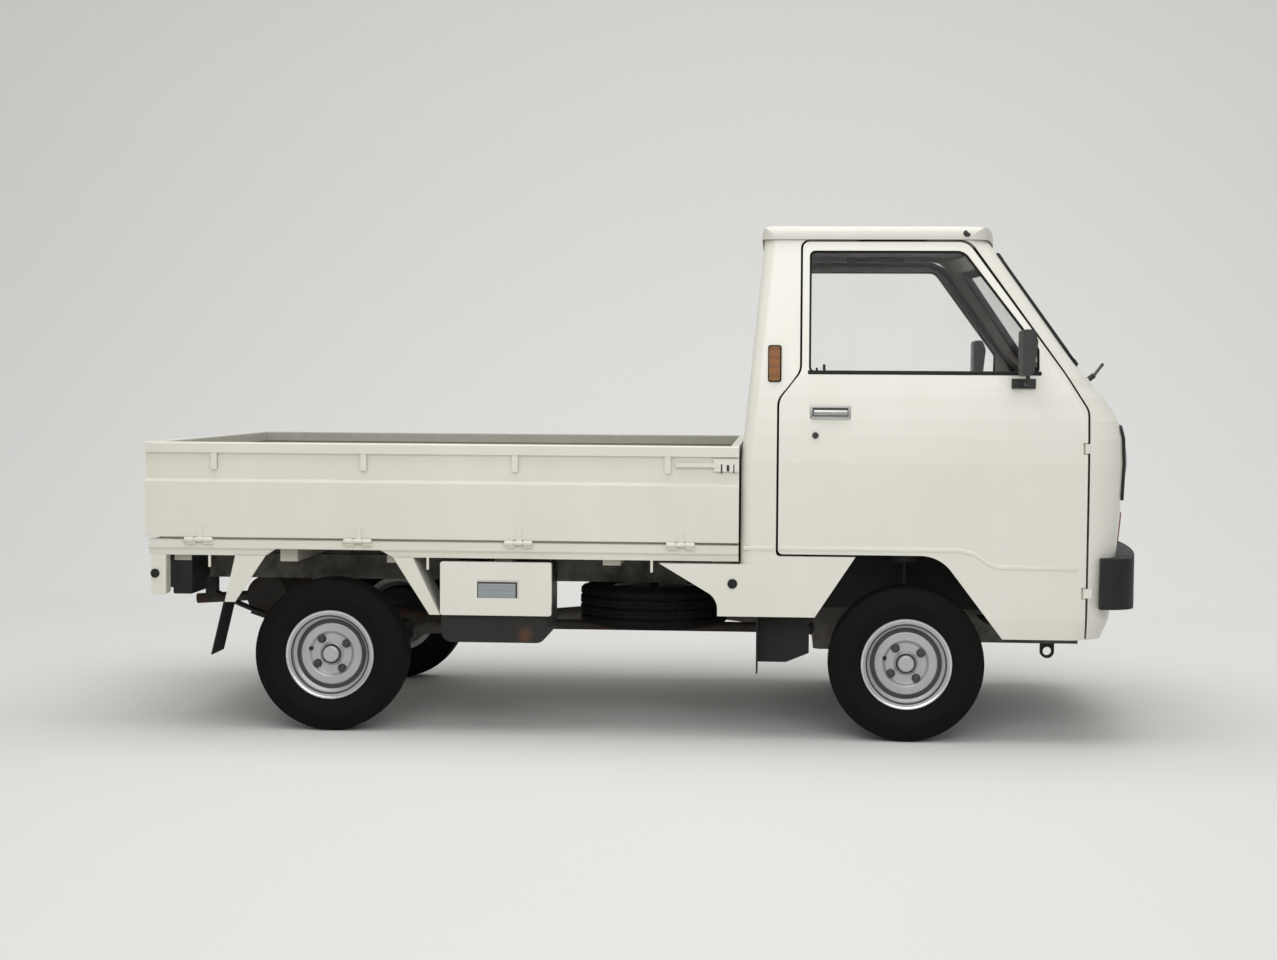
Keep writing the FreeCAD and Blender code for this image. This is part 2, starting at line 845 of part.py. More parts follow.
def build_cab_panels():
    """Back wall, nose, windscreen frame, roof and both rear quarters."""
    wall_half = half_width - S.header_tuck - S.cab_wall - S.overrun / 2
    back_region = box("back_region", (cab_back_x - S.overrun, -wall_half, floor_z),
                      (door_rear_x, wall_half, S.header_height))
    back_window = pad("back_window", "YZ_Plane", cab_back_x - S.overrun, door_rear_x - cab_back_x,
                      rounded(rear_window_outline(0)))
    node("cab_back_wall", cut("back_wall", overlap("back_blank", cab_shell, back_region), back_window))

    quarter = node("cab_side_right", build_cab_side())
    node("cab_side_left", mirrored("cab_side_left", quarter))

    front_region = box("nose_region", (door_head_x, -half_width - S.overrun, S.nose_bottom),
                       (bumper_x, half_width + S.overrun, S.belt_height))
    opening = side_prism("nose_door_opening",
                         door_outline(0, S.nose_bottom - S.overrun, S.nose_bottom - S.overrun))
    opening_left = mirrored("nose_door_opening_left", opening)
    grille_hole = pad("grille_hole", "YZ_Plane", door_front_x, nose_x, rounded(grille_outline(0)))
    lamp_holes = [pad(f"indicator_hole_{side}", "YZ_Plane", door_front_x, nose_x,
                      rounded(indicator_outline(0, side))) for side in (1, -1)]
    nose = cut("nose", overlap("nose_blank", cab_shell, front_region), opening, opening_left,
               grille_hole, *lamp_holes)
    lugs = [hinge_lug("lug_low", S.door_hinge_low), hinge_lug("lug_high", S.door_hinge_high)]
    left_lugs = [mirrored(f"{lug.Label}_left", lug) for lug in lugs]
    node("cab_nose", join("nose_hinged", nose, *lugs, *left_lugs))

    screen_region = box("screen_region",
                        (door_head_x - S.overrun * 4, -half_width - S.overrun, S.belt_height),
                        (bumper_x, half_width + S.overrun, S.header_height))
    screen_hole = pad("screen_hole", "YZ_Plane", door_head_x, bumper_x - door_head_x,
                      rounded(screen_outline(0)))
    frame_opening = wide_pad("frame_door_opening", "XZ_Plane", "overall_length",
                             rounded(door_outline(0, S.nose_bottom, S.sill_top)))
    frame = cut("screen_frame", overlap("screen_blank", cab_shell, screen_region), screen_hole,
                frame_opening)
    node("windscreen_frame", frame)


def grille_outline(shrink):
    half = S.grille_width / 2 - shrink
    return [(-half, S.grille_bottom + shrink, S.grille_radius),
            (half, S.grille_bottom + shrink, S.grille_radius),
            (half, S.grille_top - shrink, S.grille_radius), (-half, S.grille_top - shrink, S.grille_radius)]


def indicator_outline(shrink, side):
    near = S.lamp_y - S.indicator_width / 2 + shrink
    far = S.lamp_y + S.indicator_width / 2 - shrink
    radius = S.indicator_radius
    return [(side * near, S.indicator_bottom + shrink, radius),
            (side * far, S.indicator_bottom + shrink, radius),
            (side * far, S.indicator_top - shrink, radius), (side * near, S.indicator_top - shrink, radius)]


def build_roof():
    """Roof: a crowned panel with rolled rims that overhangs the header as a drip rail."""
    half = half_width - S.header_tuck + S.roof_overhang
    top = S.header_height + S.roof_rise
    front = nose_x - S.nose_setback - S.screen_rake + S.roof_overhang
    back = cab_back_x + S.back_rake - S.roof_overhang

    def roof_volume(label, offset):
        base = S.header_height - (S.overrun if offset else 0)
        rim = S.roof_rim_radius - offset / 2
        edge_top = top - S.roof_rise * roof_edge_share - offset
        plan = pad(label + "_plan", "XY_Plane", base, top,
                   rounded_plan(front - offset, back + offset, half - offset))
        across = pad(label + "_across", "YZ_Plane", back, front - back,
                     rounded_roof(half - offset, base, edge_top, rim))
        along = wide_pad(label + "_along", "XZ_Plane", "body_width", rounded([
            (back + offset, base), (back + offset, edge_top, rim),
            ((front + back) / 2, top - offset, S.roof_crown_radius),
            (front - offset, edge_top - S.roof_front_drop * roof_lip_share, rim * roof_rim_share),
            (front - offset, base)]))
        return overlap(label, plan, across, along)

    def rounded_plan(front_x, back_x, half_y):
        corner = S.header_corner_radius
        turn = math.asin((half_y - corner) / S.screen_bulge_radius)
        tip_x = front_x - S.screen_bulge_radius * (1 - math.cos(turn))
        knee = (math.pi / 2 + turn) / 2
        centre_x = tip_x - corner * math.cos(turn)
        tip = Vector(tip_x, half_y - corner + corner * math.sin(turn), 0)
        middle = Vector(centre_x + corner * math.cos(knee), half_y - corner + corner * math.sin(knee), 0)
        side = Vector(centre_x, half_y, 0)

        def flip(point):
            return Vector(point.x, -point.y, 0)

        back_edges = rounded([(back_x, -half_y, S.back_corner_radius),
                              (back_x, half_y, S.back_corner_radius),
                              (centre_x, half_y), (centre_x, -half_y)])
        kept = [edge for edge in back_edges if not (abs(edge.value(edge.FirstParameter).x - centre_x) < 1e-6
                                                    and abs(edge.value(edge.LastParameter).x - centre_x) < 1e-6)]
        return kept + [Part.Arc(side, middle, tip), Part.Arc(tip, Vector(front_x, 0, 0), flip(tip)),
                       Part.Arc(flip(tip), flip(middle), flip(side))]

    def rounded_roof(half_y, base, edge_top, rim):
        crown = (0, edge_top + S.roof_crown, roof_arc_share * half_y ** 2 / S.roof_crown)
        return rounded([(-half_y, base), (half_y, base), (half_y, edge_top, rim), crown,
                        (-half_y, edge_top, rim)])

    return cut("roof", roof_volume("roof_outer", 0), roof_volume("roof_inner", S.roof_wall))


def build_glass():
    """Windscreen and rear window: panes that follow the cab's surface inside their openings."""
    screen_region = pad("screen_pane_region", "YZ_Plane", door_head_x, bumper_x - door_head_x,
                        rounded(screen_outline(S.seat_gap)))
    screen = shell_piece("screen_pane", S.glass_inset, S.glass_inset + S.glass_wall, screen_region)
    rear_region = pad("rear_pane_region", "YZ_Plane", cab_back_x - S.overrun, door_rear_x - cab_back_x,
                      rounded(rear_window_outline(S.seat_gap)))
    rear = shell_piece("rear_pane", S.glass_inset, S.glass_inset + S.glass_wall, rear_region)
    return group("panes", screen, rear)


def build_grille():
    """Full-width grille panel: it follows the nose, with round lamp bays and rows of air slots between them."""
    blank = shell_piece("grille_skin", -S.grille_proud, S.grille_depth - S.grille_proud,
                        pad("grille_region", "YZ_Plane", door_front_x, nose_x,
                            rounded(grille_outline(S.seat_gap))))
    middle_z = (S.grille_bottom + S.grille_top) / 2
    bays = [pad(f"lamp_bay_{side}", "YZ_Plane", door_front_x, nose_x,
                circle(side * S.lamp_y, middle_z, S.lamp_radius + S.seat_gap)) for side in (1, -1)]
    lowest = middle_z - S.slot_pitch * 3
    for i in range(7):
        z = lowest + i * S.slot_pitch
        outline = rounded([(-S.slot_reach, z - S.slot_height / 2, S.slot_height / 3),
                           (S.slot_reach, z - S.slot_height / 2, S.slot_height / 3),
                           (S.slot_reach, z + S.slot_height / 2, S.slot_height / 3),
                           (-S.slot_reach, z + S.slot_height / 2, S.slot_height / 3)])
        bays.append(pad(f"slot_{i}", "YZ_Plane", door_front_x, nose_x, outline))
    return cut("grille_panel", blank, *bays)


def build_headlamps():
    """Round headlamps: a domed lens on a bucket that tapers to the back, one in each bay of the grille."""
    lens = S.lamp_radius
    profile = rounded([(0, S.lens_bulge),
                       (lens * lens_waist_share, S.lens_bulge * lens_dome_share, lens * lens_round_share),
                       (lens, 0),
                       (lens, -S.lens_bulge), (lens * bucket_share, -S.lamp_depth), (0, -S.lamp_depth)])
    lamp = turned("lamp_unit", "YZ_Plane", "V_Axis", profile)
    face_x = nose_x - S.lamp_y ** 2 / (2 * S.front_bulge_radius) - S.grille_proud / 2
    middle_z = (S.grille_bottom + S.grille_top) / 2
    forwards = Rotation(Vector(0, 1, 0), 90)
    return group("lamps", *[moved(f"lamp_{side}", lamp, face_x, side * S.lamp_y, middle_z, forwards)
                            for side in (-1, 1)])


def build_amber_lamps():
    """Front indicators let into the nose, and a side lamp on each door pillar."""
    pieces = []
    for side in (-1, 1):
        region = pad(f"indicator_region_{side}", "YZ_Plane", door_front_x, nose_x,
                     rounded(indicator_outline(S.seat_gap, side)))
        pieces.append(shell_piece(f"indicator_{side}", -S.grille_proud / 2, S.grille_depth, region))
    low = S.side_lamp_bottom
    x = cab_back_x + S.side_lamp_setback
    lamp_region = pad("side_lamp_region", "XZ_Plane", half_width * side_lamp_start_share,
                      half_width * side_lamp_reach_share, rounded([
        (x - S.side_lamp_width / 2, low, S.side_lamp_width / 5),
        (x + S.side_lamp_width / 2, low, S.side_lamp_width / 5),
        (x + S.side_lamp_width / 2, low + S.side_lamp_height, S.side_lamp_width / 5),
        (x - S.side_lamp_width / 2, low + S.side_lamp_height, S.side_lamp_width / 5)]))
    lamp = shell_piece("side_lamp", -S.side_lamp_proud, 0, lamp_region)
    pieces += [lamp, mirrored("side_lamp_left", lamp)]
    return group("amber", *pieces)


def build_bumper():
    """Front bumper: one moulding that follows the nose and returns along both sides."""
    def plan(offset):
        half = S.bumper_half_width - offset
        corner = S.bumper_corner_radius - offset / 2
        front = bumper_x - offset
        turn = math.asin((half - corner) / S.bumper_bulge_radius)
        tip_x = front - S.bumper_bulge_radius * (1 - math.cos(turn))
        centre_x = tip_x - corner * math.cos(turn)
        knee = (math.pi / 2 + turn) / 2
        tip = Vector(tip_x, half - corner + corner * math.sin(turn), 0)
        middle = Vector(centre_x + corner * math.cos(knee), half - corner + corner * math.sin(knee), 0)
        side = Vector(centre_x, half, 0)
        rear = Vector(bumper_x - S.bumper_return, half, 0)
        return tip, middle, side, rear, Vector(front, 0, 0)

    def flip(point):
        return Vector(point.x, -point.y, 0)

    outer = plan(0)
    inner = plan(S.bumper_depth)
    edges = []
    for tip, middle, side, rear, front in (outer, inner):
        edges += [Part.LineSegment(rear, side), Part.Arc(side, middle, tip),
                  Part.Arc(tip, front, flip(tip)),
                  Part.Arc(flip(tip), flip(middle), flip(side)), Part.LineSegment(flip(side), flip(rear))]
    edges += [Part.LineSegment(outer[3], inner[3]), Part.LineSegment(flip(outer[3]), flip(inner[3]))]
    blank = pad("bumper_blank", "XY_Plane", S.bumper_bottom, S.bumper_top - S.bumper_bottom, edges)
    return cut("bumper", blank, cab_volume("bumper_trim", -S.seat_gap))


# Running gear

def wheel_turned(label, outline):
    """Ring turned about the wheel's axle, from (distance outwards, radius) points."""
    return turned(label, "YZ_Plane", "H_Axis", rounded(outline))


def tyre_outline():
    bead = S.bead_width / 2 - S.seat_gap
    half = S.tyre_width / 2
    tread = S.tread_width / 2
    inner = S.bead_radius + S.seat_gap
    collar = S.flange_radius + S.seat_gap * 2
    wall = S.tyre_radius - collar
    right = [(-bead, inner), (-bead, collar, wall * bead_round_share),
             (-half, collar + wall * bead_rise_share, wall * bead_flare_share),
             (-half, collar + wall * wall_rise_share, wall * wall_round_share),
             (-tread, S.tyre_radius - S.shoulder_drop, wall * tread_round_share)]
    return right + [(0, S.tyre_radius, S.tread_width * 6)] + [(-point[0],
                                                               *point[1:]) for point in reversed(right)]


def build_rim():
    """Steel disc wheel, outer face towards -Y: rolled rim with a drop centre, dished disc, four nuts and a cap."""
    bead = S.bead_width / 2
    wall = S.rim_wall
    lip = S.flange_lip
    well = S.well_width / 2
    barrel = wheel_turned("rim_barrel", [
        (-bead - lip, S.flange_radius, wall / 3), (-bead - lip, S.flange_radius - lip, wall / 3),
        (-bead - wall, S.bead_radius - wall), (-well - lip * 2, S.bead_radius - wall),
        (-well, S.well_radius - wall), (well, S.well_radius - wall),
        (well + lip * 2, S.bead_radius - wall), (bead + wall, S.bead_radius - wall),
        (bead + lip, S.flange_radius), (bead, S.flange_radius),
        (bead, S.bead_radius), (well + lip, S.bead_radius),
        (well, S.well_radius), (-well, S.well_radius),
        (-well - lip, S.bead_radius), (-bead, S.bead_radius), (-bead, S.flange_radius)])
    face = S.disc_face
    nuts = S.nut_face
    depth = S.disc_wall
    ring = S.disc_ring_radius
    bowl = S.nut_ring_radius
    boss = S.hub_boss_radius
    bore = S.spindle_radius + S.running_gap
    end = S.spindle_length - S.drum_gap
    disc = wheel_turned("rim_disc", [
        (-well + depth, S.well_radius - wall), (-well, S.well_radius - wall),
        (-face, ring, depth), (-face, bowl, depth), (-nuts, bowl - depth * 2, depth), (-nuts, boss + depth),
        (-nuts - depth, boss), (-face, S.hub_cap_radius),
        (-face - S.hub_cap_height, S.hub_cap_radius, depth),
        (-face - S.hub_cap_height, 0), (-face + depth, 0), (-face + depth, bore), (0, bore), (0, boss),
        (-nuts + depth, boss), (-nuts + depth, bowl - depth * 2, depth), (-face + depth, bowl, depth),
        (-face + depth, ring - depth)])
    studs = []
    for i in range(4):
        angle = 2 * math.pi * (nut_turn_share + i / 4)
        radius = S.nut_circle / 2
        x = radius * math.cos(angle)
        z = radius * math.sin(angle)
        studs.append(rod(f"nut_{i}", (x, -nuts + depth / 2, z), (x, -nuts - S.nut_height, z), "nut_radius"))
    return join("rim", barrel, disc, *studs)


def build_wheels():
    """Four road wheels and the spare: each tyre and each rim is its own sub-part."""
    tyre = wheel_turned("tyre_ring", tyre_outline())
    rim = build_rim()
    half_turn = Rotation(Vector(0, 0, 1), 180)
    for end, x, track in (("front", front_axle_x, S.front_track), ("rear", rear_axle_x, S.rear_track)):
        for side, sign, turn in (("right", -1, Rotation()), ("left", 1, half_turn)):
            place = (x, sign * track / 2, S.tyre_radius)
            node(f"tyre_{end}_{side}", moved(f"tyre_{end}_{side}", tyre, *place, turn))
            node(f"rim_{end}_{side}", moved(f"rim_{end}_{side}", rim, *place, turn))
    flat = Rotation(Vector(1, 0, 0), 90)
    place = (S.spare_x, -S.spare_y, S.frame_bottom - S.spare_drop - S.tyre_width / 2)
    node("spare_tyre", moved("spare_tyre", tyre, *place, flat))
    node("spare_rim", moved("spare_rim", rim, *place, flat))


def build_chassis():
    """Two box rails that step down under the footwell, with cross members between them."""
    front = nose_x - S.frame_front_recess
    rear = rear_x + S.frame_rear_recess
    dip_start = front_axle_x + S.arch_flat_front
    dip_end = front_axle_x + S.arch_front_reach
    rail = pad("frame_rail", "XZ_Plane", S.frame_half_spacing - S.frame_width / 2, "frame_width", rounded([
        (rear, S.frame_bottom), (dip_start - S.frame_width, S.frame_bottom, S.arch_radius),
        (dip_end - S.frame_width, S.frame_front_bottom, S.arch_radius), (front, S.frame_front_bottom),
        (front, S.frame_front_top), (dip_end - S.overrun, S.frame_front_top, S.arch_radius),
        (dip_start - S.overrun, S.frame_top, S.arch_radius), (rear, S.frame_top)]))
    node("chassis_rails", both_sides("chassis_rails", rail))
    half = S.frame_half_spacing - S.frame_width / 2
    middle = (S.frame_bottom + S.frame_top) / 2
    members = []
    for i, x in enumerate(cross_member_places()):
        members.append(box(f"member_{i}",
                           (x - S.frame_cross_width / 2, -half, middle - S.frame_cross_height / 2),
                           (x + S.frame_cross_width / 2, half, middle + S.frame_cross_height / 2)))
    plate_low = spare_disc_height()
    members[1] = join("member_carrier", members[1],
                      rod("carrier_rod", (S.spare_x, -S.spare_y, plate_low),
                          (S.spare_x, -S.spare_y, middle),
                          "carrier_radius"),
                      rod("carrier_plate", (S.spare_x, -S.spare_y, plate_low),
                          (S.spare_x, -S.spare_y, plate_low + S.carrier_plate_wall),
                          "carrier_plate_radius"))
    front_bar_x = front - S.frame_cross_width
    front_bar = box("member_front", (front_bar_x, -half, S.frame_front_bottom),
                    (front_bar_x + S.frame_cross_width, half, S.frame_front_top))
    node("cross_members", group("cross_members", *members, front_bar))


def cross_member_places():
    return (rear_x + S.frame_rear_recess + S.frame_cross_width, S.spare_x,
            rear_axle_x + S.spring_half_length - S.frame_cross_width,
            cab_back_x + S.cab_wall + S.frame_cross_width)


def spare_disc_height():
    """Height of the upper side of the spare wheel's disc, where its carrier bears."""
    middle = S.frame_bottom - S.spare_drop - S.tyre_width / 2
    return middle + S.seat_gap


def build_rear_axle():
    """Live axle: tube, differential, brake drums and wheel spindles, with the propeller shaft up to the gearbox."""
    z = S.tyre_radius
    inner = S.rear_track / 2 - S.drum_gap
    tube = rod("axle_tube", (rear_axle_x, -inner, z), (rear_axle_x, inner, z), "axle_tube_radius")
    diff = turned("axle_diff", "YZ_Plane", "H_Axis", rounded([
        (-S.diff_width / 2, 0),
        (-S.diff_width / 2, S.diff_radius * diff_waist_share, S.diff_radius * diff_corner_share),
        (0, S.diff_radius * diff_crown_share, S.diff_radius * diff_round_share),
        (S.diff_width / 2, S.diff_radius * diff_waist_share, S.diff_radius * diff_corner_share),
        (S.diff_width / 2, 0)]))
    pieces = [tube, moved("axle_diff_placed", diff, rear_axle_x, 0, z)]
    for side in (-1, 1):
        drum_end = side * inner
        drum_start = side * (inner - S.drum_width)
        pieces.append(rod(f"rear_drum_{side}", (rear_axle_x, drum_start, z), (rear_axle_x, drum_end, z),
                          "drum_radius"))
        pieces.append(rod(f"rear_spindle_{side}", (rear_axle_x, drum_end, z),
                          (rear_axle_x, side * (S.rear_track / 2 + S.disc_face - S.disc_wall - S.seat_gap * 4), z),
                          "spindle_radius"))
    pinion_end = shaft_point(S.pinion_length)
    pieces.append(rod("pinion_neck", (rear_axle_x, 0, z), pinion_end, "pinion_radius"))
    node("rear_axle", join("axle", *pieces))


def gearbox_end():
    """Rear end of the gearbox, where the propeller shaft starts."""
    return Vector(S.engine_rear - S.gearbox_length, 0, (S.engine_bottom + S.engine_top) / 2 - S.engine_edge)


def shaft_point(distance):
    """Point of the propeller shaft's line, at a distance from the differential's centre."""
    centre = Vector(rear_axle_x, 0, S.tyre_radius)
    return tuple(centre + (gearbox_end() - centre).normalize() * distance)


def leaf(label, share, level):
    """One spring leaf, arched upwards at its ends, level leaves above the lowest."""
    reach = S.spring_half_length
    radius = (reach ** 2 + S.spring_rise ** 2) / (2 * S.spring_rise)
    outer = radius - level * S.leaf_wall
    low = Vector(0, -outer, 0)
    turn = math.asin(reach / radius) * share
    top = outer - S.leaf_wall

    def at(size, angle):
        return Vector(size * math.sin(angle), -size * math.cos(angle), 0)

    return [Part.Arc(at(outer, -turn), low, at(outer, turn)),
            Part.LineSegment(at(outer, turn), at(top, turn)),
            Part.Arc(at(top, turn), at(top, 0), at(top, -turn)),
            Part.LineSegment(at(top, -turn), at(outer, -turn))], radius


def build_rear_springs():
    """Semi-elliptic leaf springs on top of the axle, held by clamps, with an eye and a hanger at each end."""
    seat_z = S.tyre_radius + S.axle_tube_radius + S.seat_gap
    start = S.frame_half_spacing - S.leaf_width / 2
    leaves = []
    for level, share in enumerate(leaf_shares):
        outline, radius = leaf(f"leaf_{level}", share, level)
        body = pad(f"leaf_{level}", "XZ_Plane", start, "leaf_width", outline)
        leaves.append(moved(f"leaf_placed_{level}", body, rear_axle_x, 0, seat_z + radius))
    eye_z = seat_z + S.spring_rise + S.leaf_wall
    y_near = -start
    y_far = -start - S.leaf_width
    ends = []
    for i, sign in enumerate((-1, 1)):
        x = rear_axle_x + sign * S.spring_half_length
        ends.append(rod(f"eye_{i}", (x, y_near, eye_z), (x, y_far, eye_z), "eye_radius"))
        ends.append(box(f"hanger_{i}", (x - S.hanger_width / 2, y_far, eye_z),
                        (x + S.hanger_width / 2, y_near, S.frame_bottom)))
    clamp_top = seat_z + S.leaf_wall * 4
    clamp = box("spring_clamp", (rear_axle_x - S.leaf_width, y_far, seat_z + S.leaf_wall),
                (rear_axle_x + S.leaf_width, y_near, clamp_top))
    spring = join("rear_spring", *leaves, *ends, clamp)
    node("rear_springs", both_sides("rear_springs", spring))


def build_drivetrain():
    """Engine under the seats as one plain block on its mounts, with the gearbox and propeller shaft behind it."""
    block = doc.addObject("Part::Chamfer", "engine_block")
    blank = box("engine_blank", (S.engine_rear, -S.engine_half_width, S.engine_bottom),
                (S.engine_front, S.engine_half_width, S.engine_top))
    doc.recompute()
    block.Base = blank
    upright = [i + 1 for i, edge in enumerate(blank.Shape.Edges) if abs(edge.tangentAt(0).z) > 0.9]
    block.Edges = [(i, S.engine_edge, S.engine_edge) for i in upright]
    rail_inner = S.frame_half_spacing - S.frame_width / 2
    middle_x = (S.engine_rear + S.engine_front) / 2
    arms = box("engine_arms",
               (middle_x - S.frame_cross_width / 2, -rail_inner, S.frame_bottom + S.leaf_wall),
               (middle_x + S.frame_cross_width / 2, rail_inner, S.frame_bottom + S.frame_cross_height))
    node("engine", join("engine", block, arms))
    shaft_z = gearbox_end().z
    gearbox_rear = gearbox_end().x
    case = turned("gearbox_case", "XZ_Plane", "H_Axis", rounded([
        (S.engine_rear, 0), (S.engine_rear, S.gearbox_radius),
        (S.engine_rear - S.gearbox_length * gearbox_bell_share,
                                                              S.gearbox_radius * gearbox_waist_share),
        (gearbox_rear, S.gearbox_radius * gearbox_tail_share), (gearbox_rear, 0)]))
    shaft = rod("propeller_shaft", shaft_point(S.pinion_length + S.seat_gap), tuple(gearbox_end()),
                "prop_radius")
    node("gearbox", join("gearbox", moved("gearbox_placed", case, 0, 0, shaft_z), shaft))


def build_exhaust():
    """Exhaust: a pipe from the engine over the axle to a round silencer across the tail."""
    z = S.frame_bottom - S.muffler_radius - S.seat_gap
    silencer = rod("silencer", (S.muffler_x, -S.muffler_outer_y, z), (S.muffler_x, -S.muffler_inner_y, z),
                   "muffler_radius")
    knee_x = rear_axle_x + S.spring_half_length * pipe_knee_share
    pipe = rod("pipe_front", (S.engine_rear - S.seat_gap, -S.pipe_y, S.pipe_height),
               (knee_x, -S.pipe_y, S.pipe_height), "pipe_radius")
    bend = doc.addObject("Part::Sphere", "pipe_bend")
    bend.setExpression("Radius", "Sizes.pipe_radius")
    bend.Placement = Placement(Vector(knee_x, -S.pipe_y, S.pipe_height), Rotation())
    rise = rod("pipe_rise", (knee_x, -S.pipe_y, S.pipe_height), (S.muffler_x, -S.pipe_y, z), "pipe_radius")
    tail_y = -S.muffler_outer_y + S.frame_rear_recess
    tail = rod("pipe_tail", (S.muffler_x, tail_y, z),
               (rear_x + S.frame_rear_recess, tail_y, z - S.pipe_radius), "pipe_radius")
    node("exhaust", join("exhaust", silencer, pipe, bend, rise, tail))


def build_tank():
    """Fuel tank hung outside the right rail, with its pressed cover panel and the reflector let into it."""
    rail_outer = S.frame_half_spacing + S.frame_width / 2
    outer = half_width - S.side_rail_inset - S.guard_wall
    tank = pad("tank_body", "XZ_Plane", rail_outer, outer - rail_outer, rounded([
        (S.tank_rear, S.tank_bottom, S.tank_edge),
        (S.tank_front - S.fender_leg / 2, S.tank_bottom, S.tank_edge),
        (S.tank_front - S.fender_leg / 2, S.tank_top, S.tank_edge / 2),
        (S.tank_rear, S.tank_top, S.tank_edge / 2)]))
    node("fuel_tank", tank)
    cover = pad("tank_cover_blank", "XZ_Plane", outer, "guard_wall", rounded([
        (S.tank_rear, S.guard_bottom, S.guard_edge), (S.tank_front, S.guard_bottom, S.guard_edge),
        (S.tank_front, S.guard_top, S.guard_edge), (S.tank_rear, S.guard_top, S.guard_edge)]))
    middle_x = (S.tank_rear + S.tank_front) / 2 + S.guard_edge
    low = S.guard_bottom + S.reflector_height
    recess = box("reflector_recess", (middle_x - S.reflector_width / 2, -half_width, low),
                 (middle_x + S.reflector_width / 2, -half_width + S.side_rail_inset + S.reflector_depth,
                  low + S.reflector_height))
    node("tank_cover", cut("tank_cover_cut", cover, recess))


# Bed

def gate_profile(outer, inner_rail):
    """Section of a drop side as (distance outwards, height): flat lower panel, recessed band and top rail."""
    face = outer
    band = outer - S.gate_step
    inner = outer - S.gate_wall
    rail_low = S.rail_top - S.rail_height
    return [(inner, S.gate_bottom), (face, S.gate_bottom, S.hinge_pin_radius), (face, S.gate_step_height),
            (band, S.gate_step_height + S.gate_bevel), (band, rail_low - S.hinge_strap_wall),
            (face, rail_low), (face, S.rail_top, S.hinge_radius),
            (outer - inner_rail, S.rail_top, S.hinge_radius),
            (outer - inner_rail, rail_low), (inner, rail_low - S.hinge_strap_wall)]


def hinge_line(count, low, high, end_margin):
    """Places of the hinges along a gate."""
    step = (high - low - 2 * end_margin) / (count - 1)
    return [low + end_margin + i * step for i in range(count)]


def build_side_gate():
    """Right drop side: pressed panel, stiffening ribs, hinge knuckles with straps and the front latch."""
    low_x = rear_x
    high_x = bed_front_x
    panel = pad("side_gate_panel", "YZ_Plane", low_x, high_x - low_x,
                rounded([(-y, z, *radius) for y, z, *radius in gate_profile(half_width, S.rail_depth)]))
    pieces = [panel]
    rail_low = S.rail_top - S.rail_height
    for i, x in enumerate(rib_places()):
        pieces.append(box(f"side_rib_{i}",
                          (x - S.rib_width / 2, -half_width + S.seat_gap * 5, rail_low - S.rib_height),
                          (x + S.rib_width / 2, -half_width + S.gate_step + S.seat_gap, rail_low)))
    axis_y = -hinge_y()
    for i, x in enumerate(side_hinge_places()):
        knuckle = rod(f"side_knuckle_{i}", (x - S.hinge_knuckle / 2, axis_y, hinge_z()),
                      (x + S.hinge_knuckle / 2, axis_y, hinge_z()), "hinge_radius")
        bore = rod(f"side_knuckle_bore_{i}", (x - S.hinge_knuckle, axis_y, hinge_z()),
                   (x + S.hinge_knuckle, axis_y, hinge_z()), S.hinge_pin_radius + S.running_gap)
        strap = box(f"side_strap_{i}", (x - S.hinge_strap / 2, -half_width - S.hinge_strap_wall, hinge_z()),
                    (x + S.hinge_strap / 2, -half_width, S.gate_bottom + S.hinge_strap * 2))
        pieces.append(cut(f"side_hinge_{i}", join(f"side_hinge_blank_{i}", knuckle, strap), bore))
    latch_z = S.rail_top - S.latch_drop
    lever_end = high_x - S.latch_length / 2
    lever = box("latch_lever", (lever_end - S.latch_length, -half_width - S.latch_wall / 2, latch_z),
                (lever_end, -half_width + S.gate_step + S.seat_gap, latch_z + S.latch_height))
    bracket = box("latch_bracket",
                  (lever_end - S.latch_height, -half_width - S.latch_wall / 4, latch_z - S.latch_height),
                  (high_x, -half_width + S.gate_step + S.seat_gap, latch_z + S.latch_height * 2))
    return join("side_gate", *pieces, lever, bracket)


def hinge_y():
    return half_width + S.hinge_radius + S.seat_gap


def hinge_z():
    return S.gate_bottom - S.hinge_drop


def rib_places():
    return hinge_line(4, rear_x, bed_front_x, S.bed_length * rib_margin_share)


def side_hinge_places():
    return hinge_line(4, rear_x, bed_front_x, S.bed_length * hinge_margin_share)


def tailgate_hinge_places():
    half = half_width - S.rail_depth
    return hinge_line(3, -half, half, half * tail_hinge_margin_share)


